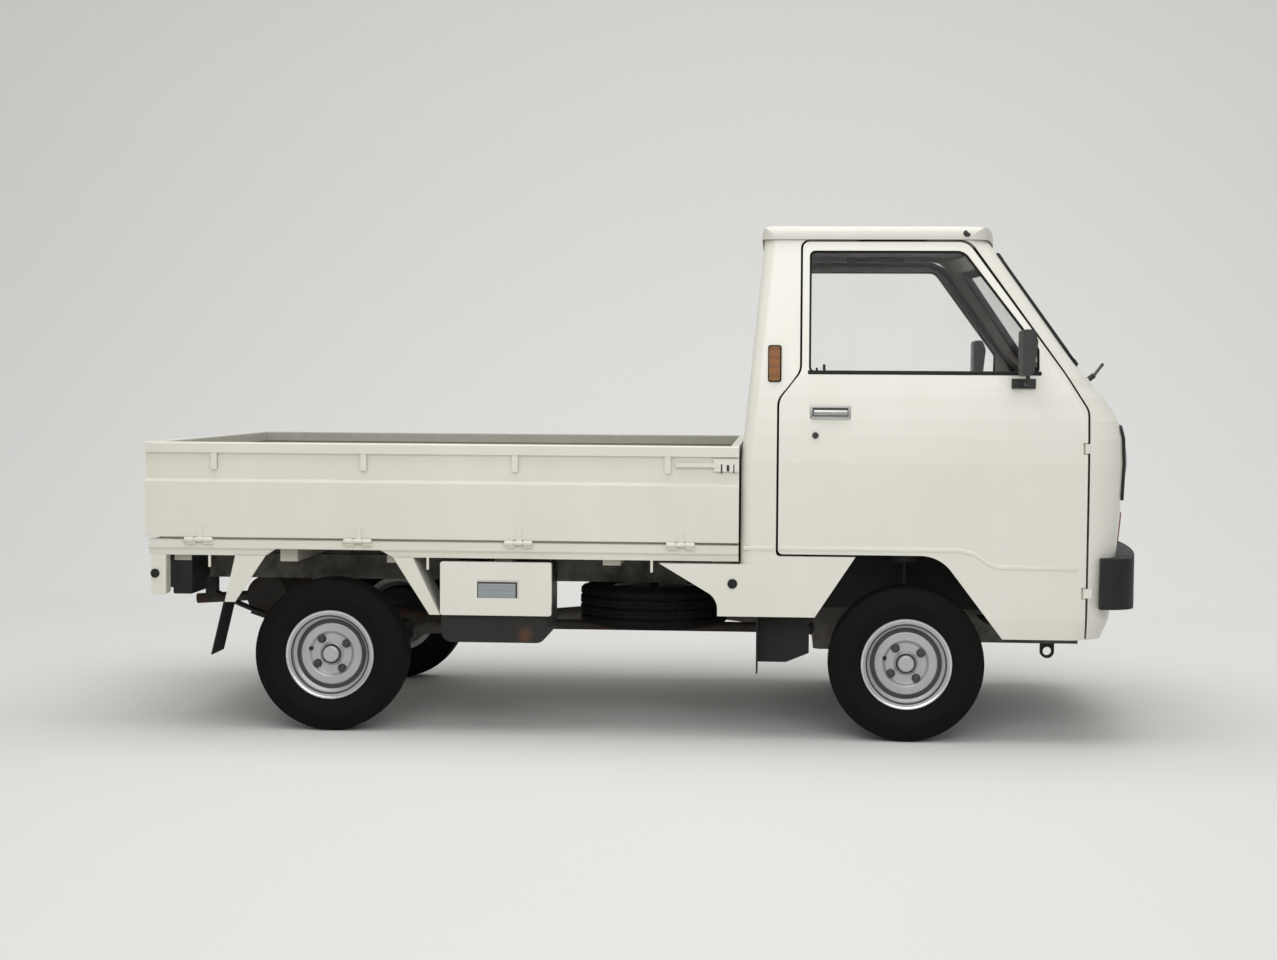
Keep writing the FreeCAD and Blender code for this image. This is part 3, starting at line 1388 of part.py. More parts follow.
def build_tailgate():
    """Tailgate between the drop sides, hinged along the bed's rear edge."""
    half = half_width - S.rail_depth - S.panel_gap
    outer = -rear_x - S.tailgate_recess
    panel = wide_pad("tailgate_panel", "XZ_Plane", 2 * half,
                     rounded([(-x, z, *radius) for x, z,
                              *radius in gate_profile(outer, S.tailgate_rail_depth)]))
    pieces = [panel]
    rail_low = S.rail_top - S.rail_height
    for i, y in enumerate(hinge_line(3, -half, half, half * tail_rib_margin_share)):
        pieces.append(box(f"tail_rib_{i}",
                          (-outer + S.seat_gap * 5, y - S.rib_width / 2, rail_low - S.rib_height),
                          (-outer + S.gate_step + S.seat_gap, y + S.rib_width / 2, rail_low)))
    axis_x = tailgate_hinge_x()
    for i, y in enumerate(tailgate_hinge_places()):
        knuckle = rod(f"tail_knuckle_{i}", (axis_x, y - S.hinge_knuckle / 2, hinge_z()),
                      (axis_x, y + S.hinge_knuckle / 2, hinge_z()), "hinge_radius")
        bore = rod(f"tail_knuckle_bore_{i}", (axis_x, y - S.hinge_knuckle, hinge_z()),
                   (axis_x, y + S.hinge_knuckle, hinge_z()), S.hinge_pin_radius + S.running_gap)
        strap = box(f"tail_strap_{i}", (-outer - S.hinge_strap_wall, y - S.hinge_strap / 2, hinge_z()),
                    (-outer, y + S.hinge_strap / 2, S.gate_bottom + S.hinge_strap * 2))
        pieces.append(cut(f"tail_hinge_{i}", join(f"tail_hinge_blank_{i}", knuckle, strap), bore))
    return join("tailgate_joined", *pieces)


def tailgate_hinge_x():
    return rear_x + S.hinge_radius


def build_bed():
    """Bed floor on its beams, side rails with fixed hinge knuckles and hooks, headboard and rear frame."""
    floor_rear = rear_x + S.tailgate_recess + S.tailgate_rail_depth
    floor_front = bed_front_x
    plate_low = S.floor_top - S.bed_floor_wall
    plate = box("floor_plate", (floor_rear, -S.bed_floor_half_width, plate_low),
                (floor_front, S.bed_floor_half_width, S.floor_top - S.floor_rib_height))
    ribs = []
    for i in range(9):
        y = (i - 4) * S.floor_rib_pitch
        ribs.append(box(f"floor_rib_{i}", (floor_rear, y - S.floor_rib_width / 2, plate_low),
                        (floor_front - S.headboard_wall, y + S.floor_rib_width / 2, S.floor_top)))
    beams = []
    rail_inner = half_width - S.side_rail_inset - S.side_rail_width
    for i, x in enumerate(hinge_line(6, floor_rear, floor_front, S.beam_width)):
        beams.append(box(f"floor_beam_{i}", (x - S.beam_width / 2, -rail_inner, S.frame_top),
                         (x + S.beam_width / 2, rail_inner, plate_low)))
    node("bed_floor", join("bed_floor_joined", plate, *ribs, *beams))

    face = half_width - S.side_rail_inset
    step_z = S.side_rail_top - S.side_rail_face
    inner = face - S.side_rail_width
    rail = pad("bed_side_rail", "YZ_Plane", rear_x + S.tailgate_recess, S.bed_length - S.tailgate_recess,
               rounded([
        (-face, S.side_rail_top), (-face, step_z, S.hinge_pin_radius),
        (-face + S.side_rail_step, step_z - S.side_rail_step),
        (-face + S.side_rail_step, S.side_rail_bottom), (-inner, S.side_rail_bottom),
        (-inner, S.side_rail_top)]))
    arch = pad("rail_arch", "XZ_Plane", inner - S.overrun, S.side_rail_width + 2 * S.overrun, rounded([
        (rear_axle_x - S.rail_arch_rear, S.side_rail_bottom),
        (rear_axle_x - S.rail_arch_top_rear, S.rail_arch_top),
        (rear_axle_x + S.rail_arch_top_front, S.rail_arch_top),
        (rear_axle_x + S.rail_arch_front, S.side_rail_bottom),
        (rear_axle_x + S.rail_arch_front, S.side_rail_bottom - S.overrun),
        (rear_axle_x - S.rail_arch_rear, S.side_rail_bottom - S.overrun)]))
    pieces = [cut("rail_arched", rail, arch)]
    axis_y = -hinge_y()
    for i, x in enumerate(side_hinge_places()):
        for j, sign in enumerate((-1, 1)):
            start = x + sign * (S.hinge_knuckle / 2 + S.seat_gap)
            end = start + sign * S.hinge_knuckle
            pieces.append(rod(f"rail_knuckle_{i}_{j}", (start, axis_y, hinge_z()), (end, axis_y, hinge_z()),
                              "hinge_radius"))
            pieces.append(box(f"rail_lug_{i}_{j}",
                              (min(start, end), axis_y, S.side_rail_top - S.side_rail_face / 2),
                              (max(start, end), -face + S.seat_gap, hinge_z())))
        pieces.append(rod(f"rail_pin_{i}", (x - S.hinge_knuckle, axis_y, hinge_z()),
                          (x + S.hinge_knuckle, axis_y, hinge_z()), "hinge_pin_radius"))
    hook_y = -face + S.side_rail_step * hook_inset_share
    for i, x in enumerate(hook_places()):
        pieces.append(rod(f"hook_{i}", (x, hook_y, S.side_rail_bottom),
                          (x, hook_y, S.side_rail_bottom - S.hook_drop),
                          "hook_radius"))
    side_rail = join("bed_side", *pieces)
    node("bed_side_rails", both_sides("bed_side_rails", side_rail))

    headboard = box("headboard_panel",
                    (bed_front_x - S.headboard_wall, -half_width + S.rail_depth + S.panel_gap, S.floor_top),
                    (bed_front_x, half_width - S.rail_depth - S.panel_gap, S.rail_top))
    node("headboard", headboard)


def hook_places():
    return [rear_x + share * S.bed_length for share in hook_place_shares]


def build_rear_panel():
    """Rear end of the bed frame: a leg at each corner, the lamp panel between them and the tailgate's hinges."""
    face = half_width - S.side_rail_inset
    outer_x = rear_x + S.tailgate_recess * 2
    legs = []
    leg = pad("rear_leg", "XZ_Plane", face - S.leg_width, "leg_width", rounded([
        (outer_x, S.leg_bottom, S.leg_length / 4), (outer_x + S.leg_length, S.leg_bottom, S.leg_length / 4),
        (outer_x + S.leg_length, S.side_rail_bottom), (outer_x, S.side_rail_bottom)]))
    legs = [leg, mirrored("rear_leg_left", leg)]
    plate_top = S.side_rail_top
    panel = pad("rear_plate", "YZ_Plane", outer_x, "rear_panel_wall",
                rounded([(-face + S.leg_width, S.rear_panel_bottom),
                         (face - S.leg_width, S.rear_panel_bottom),
                         (face - S.leg_width, plate_top), (-face + S.leg_width, plate_top)]),
                circle(-S.plate_hole_spacing / 2, S.plate_hole_height, S.plate_hole_radius),
                circle(S.plate_hole_spacing / 2, S.plate_hole_height, S.plate_hole_radius))
    pieces = legs + [panel]
    axis_x = tailgate_hinge_x()
    for i, y in enumerate(tailgate_hinge_places()):
        for j, sign in enumerate((-1, 1)):
            start = y + sign * (S.hinge_knuckle / 2 + S.seat_gap)
            end = start + sign * S.hinge_knuckle
            pieces.append(rod(f"tail_rail_knuckle_{i}_{j}", (axis_x, start, hinge_z()),
                              (axis_x, end, hinge_z()),
                              "hinge_radius"))
            pieces.append(box(f"tail_lug_{i}_{j}",
                              (axis_x, min(start, end), S.side_rail_top - S.side_rail_face / 2),
                              (outer_x + S.seat_gap, max(start, end), hinge_z())))
        pieces.append(rod(f"tail_pin_{i}", (axis_x, y - S.hinge_knuckle, hinge_z()),
                          (axis_x, y + S.hinge_knuckle, hinge_z()), "hinge_pin_radius"))
    node("rear_panel", join("rear_panel_joined", *pieces))
    lamp_low = S.rear_panel_bottom + S.flap_wall
    lamps = []
    for side in (-1, 1):
        near = side * (face - S.leg_width - S.flap_width * leg_inset_share)
        far = side * (face - S.leg_width - S.flap_wall)
        lamps.append(box(f"rear_lamp_{side}", (outer_x + S.rear_panel_wall, min(near, far), lamp_low),
                         (outer_x + S.rear_panel_wall + S.leg_length, max(near, far), S.side_rail_bottom)))
    node("rear_lamps", group("rear_lamps", *lamps))


def build_guards():
    """White legs of the rear wings, and black rubber flaps behind the wheels."""
    outer = half_width - S.side_rail_inset
    wing_start = outer - S.wing_depth
    top = S.side_rail_bottom
    wall = S.fender_wall

    def wing(label, foot_z, foot_back, foot_front, top_back, top_front, shell):
        """Leg with a skin on its outer side and one slanted wall, from the foot up to the side rail."""
        leg = pad(label + "_leg", "XZ_Plane", wing_start, outer - wing_start, rounded([
            (foot_back, foot_z), (foot_front, foot_z), (top_front, top), (top_back, top)]))
        lean = (top_back - foot_back if shell > 0 else top_front - foot_front) / (top - foot_z)
        near = (foot_back if shell > 0 else foot_front) + shell * wall
        far = near + shell * S.wing_depth
        low_z = foot_z - S.overrun
        high_z = top + S.overrun
        hollow = pad(label + "_hollow", "XZ_Plane", wing_start - S.overrun,
                     outer - wing_start - wall + S.overrun,
                     rounded([(near - lean * S.overrun, low_z), (far - lean * S.overrun, low_z),
                              (far + lean * (high_z - foot_z), high_z),
                              (near + lean * (high_z - foot_z), high_z)]))
        return cut(label, leg, hollow)

    foot_back = rear_axle_x - S.wing_rear_reach
    top_back = rear_axle_x - S.wing_rear_top
    foot_z = S.wing_foot
    lean = (top_back - foot_back) / (top - foot_z)
    wings = [wing("wing_rear", foot_z, foot_back, foot_back + S.fender_leg, top_back,
                  top_back + S.wing_top_length, 1),
             wing("wing_front", S.guard_bottom, S.tank_rear - S.seat_gap - S.fender_leg,
                  S.tank_rear - S.seat_gap,
                  rear_axle_x + S.wing_front_top - S.wing_front_length, rear_axle_x + S.wing_front_top, -1)]
    node("rear_wings", group("rear_wings", *wings, *[mirrored(f"{leg.Name}_left", leg) for leg in wings]))
    flap_outer = outer - S.side_rail_inset
    flap_top_x = foot_back + lean * S.overrun - S.seat_gap
    flap = pad("rear_flap", "XZ_Plane", flap_outer - S.flap_width, "flap_width", rounded([
        (flap_top_x - S.flap_wall, foot_z + S.overrun),
        (flap_top_x - S.fender_leg * flap_lean_share, S.tyre_radius),
        (flap_top_x - S.fender_leg * flap_lean_share + S.flap_wall, S.tyre_radius),
        (flap_top_x, foot_z + S.overrun)]))
    front_x = front_axle_x - S.arch_rear_reach - S.flap_width * flap_setback_share
    front_flap = pad("front_flap", "XZ_Plane", flap_outer - S.flap_width, "flap_width", rounded([
        (front_x, S.sill_bottom - S.seat_gap), (front_x, S.tyre_radius - S.fender_leg),
        (front_x + S.flap_wall, S.tyre_radius - S.fender_leg),
        (front_x + S.flap_wall, S.sill_bottom - S.seat_gap)]))
    splash_x = front_axle_x - S.splash_front
    splash = pad("splash_guard", "XZ_Plane", S.splash_y, "flap_wall", rounded([
        (front_x, S.splash_bottom), (splash_x - S.splash_slope, S.splash_bottom),
        (splash_x, S.splash_bottom + S.splash_rise), (splash_x, floor_z - S.outrigger_height),
        (front_x, floor_z - S.outrigger_height)]))
    front_guard = join("front_guard", front_flap, splash)
    node("mud_flaps", group("mud_flaps", flap, mirrored("rear_flap_left", flap), front_guard,
                            mirrored("front_guard_left", front_guard)))


# Cab floor and furniture

def build_floor():
    """Cab floor: seat platform, riser and footwell in one bent sheet, on mounts above the chassis rails."""
    wall = S.floor_wall
    back = cab_back_x + S.cab_wall * floor_back_share
    riser = front_axle_x + S.arch_front_reach + wall
    front = nose_x
    sheet_pad = wide_pad("floor_sheet", "XZ_Plane", 2 * S.floor_half_width, rounded([
        (back, floor_z), (riser - wall, floor_z), (riser - wall, S.footwell_floor),
        (front, S.footwell_floor),
        (front, S.footwell_floor + wall), (riser, S.footwell_floor + wall, wall),
        (riser, floor_z + wall, wall), (back, floor_z + wall)]))
    pieces = [sheet_pad]
    inner = half_width - S.cab_wall
    for side in (-1, 1):
        near = side * (inner - S.outrigger_width)
        far = side * inner
        pieces.append(box(f"outrigger_{side}", (back, min(near, far), floor_z - S.outrigger_height),
                          (front_axle_x - S.arch_rear_reach - S.overrun, max(near, far), floor_z)))
    sheet_trimmed = overlap("floor_trimmed", join("floor_blank", *pieces),
                            cab_volume("floor_trim", S.cab_wall + S.seat_gap))
    pieces = [sheet_trimmed]
    for side in (-1, 1):
        y = side * S.frame_half_spacing
        for i, x in enumerate((back + S.outrigger_width, front_axle_x)):
            pieces.append(rod(f"cab_mount_{side}_{i}", (x, y, S.frame_top), (x, y, floor_z + wall / 2),
                              "cab_mount_radius"))
        x = riser + S.outrigger_width
        pieces.append(rod(f"cab_mount_{side}_front", (x, y, S.frame_front_top),
                          (x, y, S.footwell_floor + wall / 2),
                          "cab_mount_radius"))
        near = side * S.wheelhouse_half_gap
        pieces.append(box(f"wheelhouse_{side}",
                          (front_axle_x - S.arch_rear_reach, min(near, near + side * wall / 3),
                           S.sill_bottom), (riser - wall, max(near, near + side * wall / 3), floor_z)))
    node("cab_floor", join("cab_floor_joined", *pieces))


def build_dashboard():
    back = nose_x - S.nose_setback - S.dash_clearance - S.dash_depth
    top = S.belt_height - S.screen_frame_low
    blank = wide_pad("dash_blank", "XZ_Plane", 2 * S.dash_half_width, rounded([
        (back, top - S.dash_height, S.seat_edge_radius),
        (nose_x, top - S.dash_height), (nose_x, top),
        (back + S.dash_depth, top),
        (back + S.seat_edge_radius, top - S.seat_edge_radius, S.seat_edge_radius),
        (back, top - S.dash_height / 2, S.seat_edge_radius)]))
    return overlap("dash", blank, cab_volume("dash_trim", S.cab_wall + S.seat_gap))


def build_seats():
    """Two seats: cushion and leaning back, as plain closed pads."""
    floor_top = floor_z + S.floor_wall + S.seat_gap
    rear = cab_back_x + S.cab_wall + S.cushion_rear
    radius = S.seat_edge_radius
    pieces = []
    for side in (-1, 1):
        start = -side * S.seat_spacing / 2 - S.seat_width / 2
        pieces.append(pad(f"cushion_{side}", "XZ_Plane", start, "seat_width", rounded([
            (rear, floor_top, radius), (rear + S.cushion_length, floor_top, radius),
            (rear + S.cushion_length, floor_top + S.cushion_height, radius * cushion_nose_share),
            (rear, floor_top + S.cushion_height - radius / 3, radius)])))
        low = floor_top + S.seat_gap
        back_x = rear - S.seat_gap
        pieces.append(pad(f"backrest_{side}", "XZ_Plane", start, "seat_width", rounded([
            (back_x - S.back_thickness, low, radius), (back_x, low, radius),
            (back_x - S.back_lean, low + S.cushion_height + S.back_height, radius),
            (back_x - S.back_thickness - S.back_lean * back_taper_share,
             low + S.cushion_height + S.back_height, radius)])))
    return group("seat_set", *pieces)


def steering_axis():
    """Unit vector along the steering column, from the floor up to the wheel."""
    tilt = math.radians(S.wheel_tilt)
    return Vector(-math.sin(tilt), 0, math.cos(tilt))


def build_steering():
    """Steering wheel on its column, the rack under the floor and the coupled tie rod."""
    centre = Vector(S.wheel_x, -S.wheel_y, S.wheel_height)
    axis = steering_axis()
    face = Rotation(Vector(0, 0, 1), axis)
    ring = doc.addObject("Part::Torus", "wheel_ring")
    ring.setExpression("Radius1", "Sizes.wheel_rim_radius")
    ring.setExpression("Radius2", "Sizes.wheel_tube_radius")
    ring.Placement = Placement(centre, face)
    hub = rod("wheel_hub", tuple(centre - axis * S.wheel_hub_radius), tuple(centre), "wheel_hub_radius")
    across = face.multVec(Vector(0, 1, 0))
    spokes = []
    for i, sign in enumerate((-1, 1)):
        tip = centre + across * (sign * S.wheel_rim_radius)
        spokes.append(rod(f"spoke_{i}", tuple(centre - axis * S.wheel_tube_radius), tuple(tip),
                          S.wheel_tube_radius * spoke_share))
    node("steering_wheel", join("steering_wheel_joined", ring, hub, *spokes))
    top = centre - axis * (S.wheel_hub_radius + S.seat_gap)
    foot_gap = S.footwell_floor + S.floor_wall
    foot = top - axis * ((top.z - foot_gap - S.column_radius) / axis.z)
    column = rod("column_tube", tuple(foot), tuple(top), "column_radius")
    base = rod("column_base", (foot.x, foot.y, foot_gap), (foot.x, foot.y, foot.z),
               S.column_radius * column_base_share)
    node("steering_column", join("steering_column_joined", column, base))


def kingpin_y():
    return S.front_track / 2 - S.kingpin_offset


def tie_rod_height():
    return S.tyre_radius - S.arm_drop / 2


def build_knuckle():
    """Right front knuckle: strut with its rod, carrier, wheel spindle, brake drum and steering arm."""
    y = -kingpin_y()
    z = S.tyre_radius
    x = front_axle_x
    half = S.knuckle_half
    strut_y = y + S.strut_offset
    strut_top = S.frame_bottom + S.strut_offset / 2
    inner = S.front_track / 2 - S.drum_gap
    drum_back = -inner + S.drum_width
    arm_top = z - S.arm_drop + S.arm_wall
    carrier = box("knuckle_carrier", (x - half, drum_back, arm_top), (x + half, strut_y, z + half * 2))
    strut = rod("knuckle_strut", (x, strut_y, z + half / 2), (x, strut_y, strut_top), "strut_radius")
    strut_rod = rod("knuckle_strut_rod", (x, strut_y, strut_top), (x, strut_y, S.strut_top - S.seat_gap),
                    "strut_rod_radius")
    drum = rod("front_drum", (x, drum_back, z), (x, -inner, z), "drum_radius")
    spindle = rod("front_spindle", (x, y, z),
                  (x, -S.front_track / 2 - S.disc_face + S.disc_wall + S.seat_gap * 4, z), "spindle_radius")
    arm_z = tie_rod_height()
    tip_x = x - S.tie_arm_reach
    arm = box("steering_arm", (tip_x, y - S.tie_eye_radius / 2, arm_z),
              (x, y + S.tie_eye_radius / 2, arm_z + S.tie_arm_wall))
    eye = rod("steering_arm_eye", (tip_x, y, arm_z), (tip_x, y, arm_z + S.tie_arm_wall), "tie_eye_radius")
    return join("knuckle", carrier, strut, strut_rod, drum, spindle, arm, eye)


def build_tie_rod():
    """Tie rod: it slides across the car under the steering arms, which it meets at its two eyes."""
    y = kingpin_y()
    x = front_axle_x - S.tie_arm_reach
    top = tie_rod_height() - S.seat_gap
    z = top - S.tie_arm_wall / 2
    bar = rod("tie_bar", (x, -y, z), (x, y, z), "tie_rod_radius")
    eyes = [rod(f"tie_eye_{side}", (x, side * y, top - S.tie_arm_wall), (x, side * y, top),
                "tie_eye_radius")
            for side in (-1, 1)]
    trim = box("tie_trim", (x - S.tie_eye_radius, -y - S.tie_eye_radius, top),
               (x + S.tie_eye_radius, y + S.tie_eye_radius, top + S.tie_arm_wall))
    return cut("tie_rod_cut", join("tie_rod_joined", bar, *eyes), trim)


def build_front_suspension():
    """Cross member behind the engine's front, lower arms out to the kingpins, strut seats and the rack's tube."""
    y = kingpin_y()
    x = front_axle_x
    z = S.tyre_radius - S.arm_drop
    rail_half = S.frame_half_spacing
    arm_top = z + S.arm_wall - S.seat_gap
    radius = S.ball_seat_radius
    pieces = [box("front_cross", (x - S.arm_width, -rail_half, z), (x + S.arm_width, rail_half, arm_top))]
    seats = []
    for side in (-1, 1):
        near = side * rail_half
        far = side * y
        pieces.append(box(f"lower_arm_{side}", (x - radius, min(near, far), z),
                          (x + radius, max(near, far), arm_top)))
        pieces.append(rod(f"ball_seat_{side}", (x, far, z), (x, far, arm_top), "ball_seat_radius"))
        pieces.append(box(f"cross_post_{side}", (x - S.arm_width / 2, near - S.frame_width / 2, z),
                          (x + S.arm_width / 2, near + S.frame_width / 2, S.frame_bottom)))
        strut_y = side * (y - S.strut_offset)
        seats.append(rod(f"strut_seat_{side}", (x, strut_y, S.strut_top), (x, strut_y, floor_z),
                         "strut_seat_radius"))
    rack_x = x - S.tie_arm_reach
    rack_z = tie_rod_height() - S.seat_gap - S.tie_arm_wall / 2
    tube = rod("rack_tube", (rack_x, -S.rack_length / 2, rack_z), (rack_x, S.rack_length / 2, rack_z),
               "rack_radius")
    mount_box = box("rack_mount", (rack_x, -S.arm_width, z), (x - S.arm_width, S.arm_width, arm_top))
    bore = rod("rack_bore", (rack_x, -S.rack_length, rack_z), (rack_x, S.rack_length, rack_z),
               S.tie_rod_radius + S.running_gap)
    return group("front_suspension_set",
                 cut("suspension_frame", join("suspension_blank", *pieces, tube, mount_box), bore),
                 *seats)


def build_mirror():
    """Door mirror: rounded housing on a bent arm from its foot on the door's belt."""
    depth = S.mirror_depth
    low = S.mirror_bottom
    x = S.mirror_x
    shell = pad("mirror_shell", "XZ_Plane", S.mirror_reach - S.mirror_width / 2, "mirror_width", rounded([
        (x - depth / 2, low, depth / 4), (x + depth / 4, low, depth / 2),
        (x + depth / 2, low + S.mirror_height * mirror_shoulder_share, depth / 2),
        (x + depth / 4, low + S.mirror_height, depth / 3),
        (x - depth / 2, low + S.mirror_height, depth / 4)]))
    belt_y = half_width - S.belt_tuck + S.seat_gap * 2
    foot = box("mirror_foot",
               (x - depth * mirror_foot_share, -belt_y - S.mirror_arm_radius * 2,
                S.mirror_foot_height - depth / 3),
               (x + depth * mirror_foot_share, -belt_y + S.seat_gap, S.mirror_foot_height + depth / 3))
    knee = (x, -S.mirror_reach, S.mirror_foot_height)
    arm = rod("mirror_arm", (x, -belt_y, S.mirror_foot_height), knee, "mirror_arm_radius")
    post = rod("mirror_post", knee, (x, -S.mirror_reach, low + S.mirror_arm_radius), "mirror_arm_radius")
    bend = doc.addObject("Part::Sphere", "mirror_bend")
    bend.setExpression("Radius", "Sizes.mirror_arm_radius")
    bend.Placement = Placement(Vector(*knee), Rotation())
    return cut("mirror", join("mirror_joined", shell, foot, arm, post, bend),
               cab_volume("mirror_trim", -S.seat_gap))


def build_wipers():
    """Two wipers parked along the foot of the windscreen, each with its spindle in the cowl."""
    pieces = []
    for i, sign in enumerate((-1, 1)):
        y = sign * S.wiper_spacing / 2
        x = nose_x - S.nose_setback
        spindle = rod(f"wiper_spindle_{i}", (x - S.overrun, y, S.belt_height - S.overrun),
                      (x + S.overrun, y, S.belt_height + S.overrun / 2), S.wiper_radius * wiper_pivot_share)
        tip = Vector(x - S.overrun, y - S.wiper_length, S.belt_height + S.overrun * 2)
        arm = rod(f"wiper_arm_{i}", (x + S.overrun, y, S.belt_height + S.overrun / 2), tuple(tip),
                  "wiper_radius")
        pieces.append(cut(f"wiper_{i}", join(f"wiper_blank_{i}", spindle, arm),
                          cab_volume(f"wiper_trim_{i}", -S.seat_gap)))
    return group("wiper_set", *pieces)


def build_tow_eye():
    """Towing lug: a plate with a round eye, under the front end of the right chassis rail."""
    half = S.tow_eye_radius + S.tow_bar_radius * tow_plate_share
    centre_z = S.frame_front_bottom - S.tow_eye_radius * 2
    outline = rounded([(S.tow_eye_x - half, centre_z - half, half * tow_round_share),
                       (S.tow_eye_x + half, centre_z - half, half * tow_round_share),
                       (S.tow_eye_x + half, S.frame_front_bottom),
                       (S.tow_eye_x - half, S.frame_front_bottom)])
    return pad("tow_lug", "XZ_Plane", S.frame_half_spacing - S.tow_bar_radius, 2 * S.tow_bar_radius,
               outline,
               circle(S.tow_eye_x, centre_z, S.tow_eye_radius))


build_cab_panels()
node("cab_roof", build_roof())
node("cab_glass", build_glass())
node("grille", build_grille())
node("headlamps", build_headlamps())
node("amber_lamps", build_amber_lamps())
node("front_bumper", build_bumper())
door = node("door_right", build_door())
node("door_left", mirrored("door_left", door))
pane = node("door_glass_right", build_door_glass())
node("door_glass_left", mirrored("door_glass_left", pane))
mirror = node("mirror_right", build_mirror())
node("mirror_left", mirrored("mirror_left", mirror))
node("wipers", build_wipers())
build_floor()
node("dashboard", build_dashboard())
node("seats", build_seats())
build_steering()
build_chassis()
build_bed()
build_rear_panel()
gate = node("side_gate_right", build_side_gate())
node("side_gate_left", mirrored("side_gate_left", gate))
node("tailgate", build_tailgate())
build_guards()
build_tank()
build_wheels()
build_rear_axle()
build_rear_springs()
build_drivetrain()
build_exhaust()
node("front_suspension", build_front_suspension())
knuckle = node("knuckle_right", build_knuckle())
node("knuckle_left", mirrored("knuckle_left", knuckle))
node("tie_rod", build_tie_rod())
node("tow_eye", build_tow_eye())

doc.recompute()


# Every object has to be sound before a file is written.
faults = [item.Name for item in doc.Objects if "Invalid" in item.State or "Error" in item.State]
for piece in nodes:
    if piece.Shape.isNull() or not piece.Shape.isValid() or not piece.Shape.Solids:
        faults.append(piece.Label)
if faults:
    raise RuntimeError("Failed objects: " + ", ".join(faults))

os.makedirs("parts", exist_ok=True)
for piece in nodes:
    piece.Shape.exportStep(f"parts/{piece.Label}.step")
print(len(nodes), "sub-parts written")
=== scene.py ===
import json
import math

import bpy
from mathutils import Matrix, Vector


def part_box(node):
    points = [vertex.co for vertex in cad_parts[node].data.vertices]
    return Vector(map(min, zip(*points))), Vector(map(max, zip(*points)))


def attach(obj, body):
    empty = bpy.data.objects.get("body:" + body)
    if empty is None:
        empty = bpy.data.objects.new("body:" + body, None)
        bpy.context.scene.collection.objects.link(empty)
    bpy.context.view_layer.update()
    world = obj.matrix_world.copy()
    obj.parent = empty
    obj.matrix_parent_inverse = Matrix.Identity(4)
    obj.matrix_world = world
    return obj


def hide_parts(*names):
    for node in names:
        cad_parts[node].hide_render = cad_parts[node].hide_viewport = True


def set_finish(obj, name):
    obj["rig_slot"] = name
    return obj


# A small cab-over pickup: steel cab with two doors, drop-side bed, ladder frame, four disc wheels.
# Sections follow the truck as it is put together. Lengths are metres; +X is forwards, +Y the truck's left.
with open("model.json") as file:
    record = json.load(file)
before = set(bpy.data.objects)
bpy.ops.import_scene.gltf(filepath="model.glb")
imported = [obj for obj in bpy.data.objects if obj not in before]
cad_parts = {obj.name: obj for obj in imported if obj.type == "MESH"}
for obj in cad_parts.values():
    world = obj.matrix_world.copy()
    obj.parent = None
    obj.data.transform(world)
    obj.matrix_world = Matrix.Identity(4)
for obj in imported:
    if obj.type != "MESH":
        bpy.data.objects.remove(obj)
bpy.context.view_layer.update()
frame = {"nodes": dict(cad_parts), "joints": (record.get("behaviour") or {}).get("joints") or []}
nodes = frame["nodes"]
pivots = {joint["name"]: Vector(joint["pos_m"]) for joint in frame["joints"] if "pos_m" in joint}
bpy.ops.object.select_all(action="DESELECT")

# Camera: stands to the truck's right, a little above the gates, and looks square at its side.
# Place, angles and lens were fitted to the photo by the truck's length and its tyres.
camera_place = (0.42845, -7.0296, 1.1238)
camera_turn, camera_dip, camera_roll = 0.06995, 0.04778, 0.0064
lens_data = bpy.data.cameras.new("photo_camera")
lens_data.sensor_width = 36.0
lens_data.lens = 57.02
camera = bpy.data.objects.new("photo_camera", lens_data)
bpy.context.scene.collection.objects.link(camera)
camera.matrix_world = (Matrix.Translation(camera_place) @ Matrix.Rotation(camera_turn, 4, "Z")
                       @ Matrix.Rotation(math.pi / 2 - camera_dip, 4, "X") @ Matrix.Rotation(camera_roll, 4, "Z"))
bpy.context.scene.camera = camera

# Painted steel panels: cab, doors and bed, pressed sheet in one cream-white enamel.
# The paint has chalked a little with age, keeps faint streaks, and is dusty low down.


def feed(tree, socket, value):
    """Link a value into a socket, or set it there if it is plain."""
    if isinstance(value, bpy.types.NodeSocket):
        tree.links.new(value, socket)
    else:
        socket.default_value = value


def maths(tree, operation, first, second=0.0, clamp=False):
    """Math node; gives its result's socket."""
    step = tree.nodes.new("ShaderNodeMath")
    step.operation = operation
    step.use_clamp = clamp
    feed(tree, step.inputs[0], first)
    feed(tree, step.inputs[1], second)
    return step.outputs[0]


def blend_colour(tree, factor, first, second):
    """Mix of two colours. A Mix node keeps its colour sockets behind those for numbers and vectors."""
    factor_socket, first_socket, second_socket, result_socket = 0, 6, 7, 2
    step = tree.nodes.new("ShaderNodeMix")
    step.data_type = "RGBA"
    feed(tree, step.inputs[factor_socket], factor)
    feed(tree, step.inputs[first_socket], first)
    feed(tree, step.inputs[second_socket], second)
    return step.outputs[result_socket]


def spread(tree, value, low, high, new_low=0.0, new_high=1.0):
    """Stretch the range low to high of a value over new_low to new_high."""
    step = tree.nodes.new("ShaderNodeMapRange")
    for place, number in enumerate((value, low, high, new_low, new_high)):
        feed(tree, step.inputs[place], number)
    return step.outputs[0]


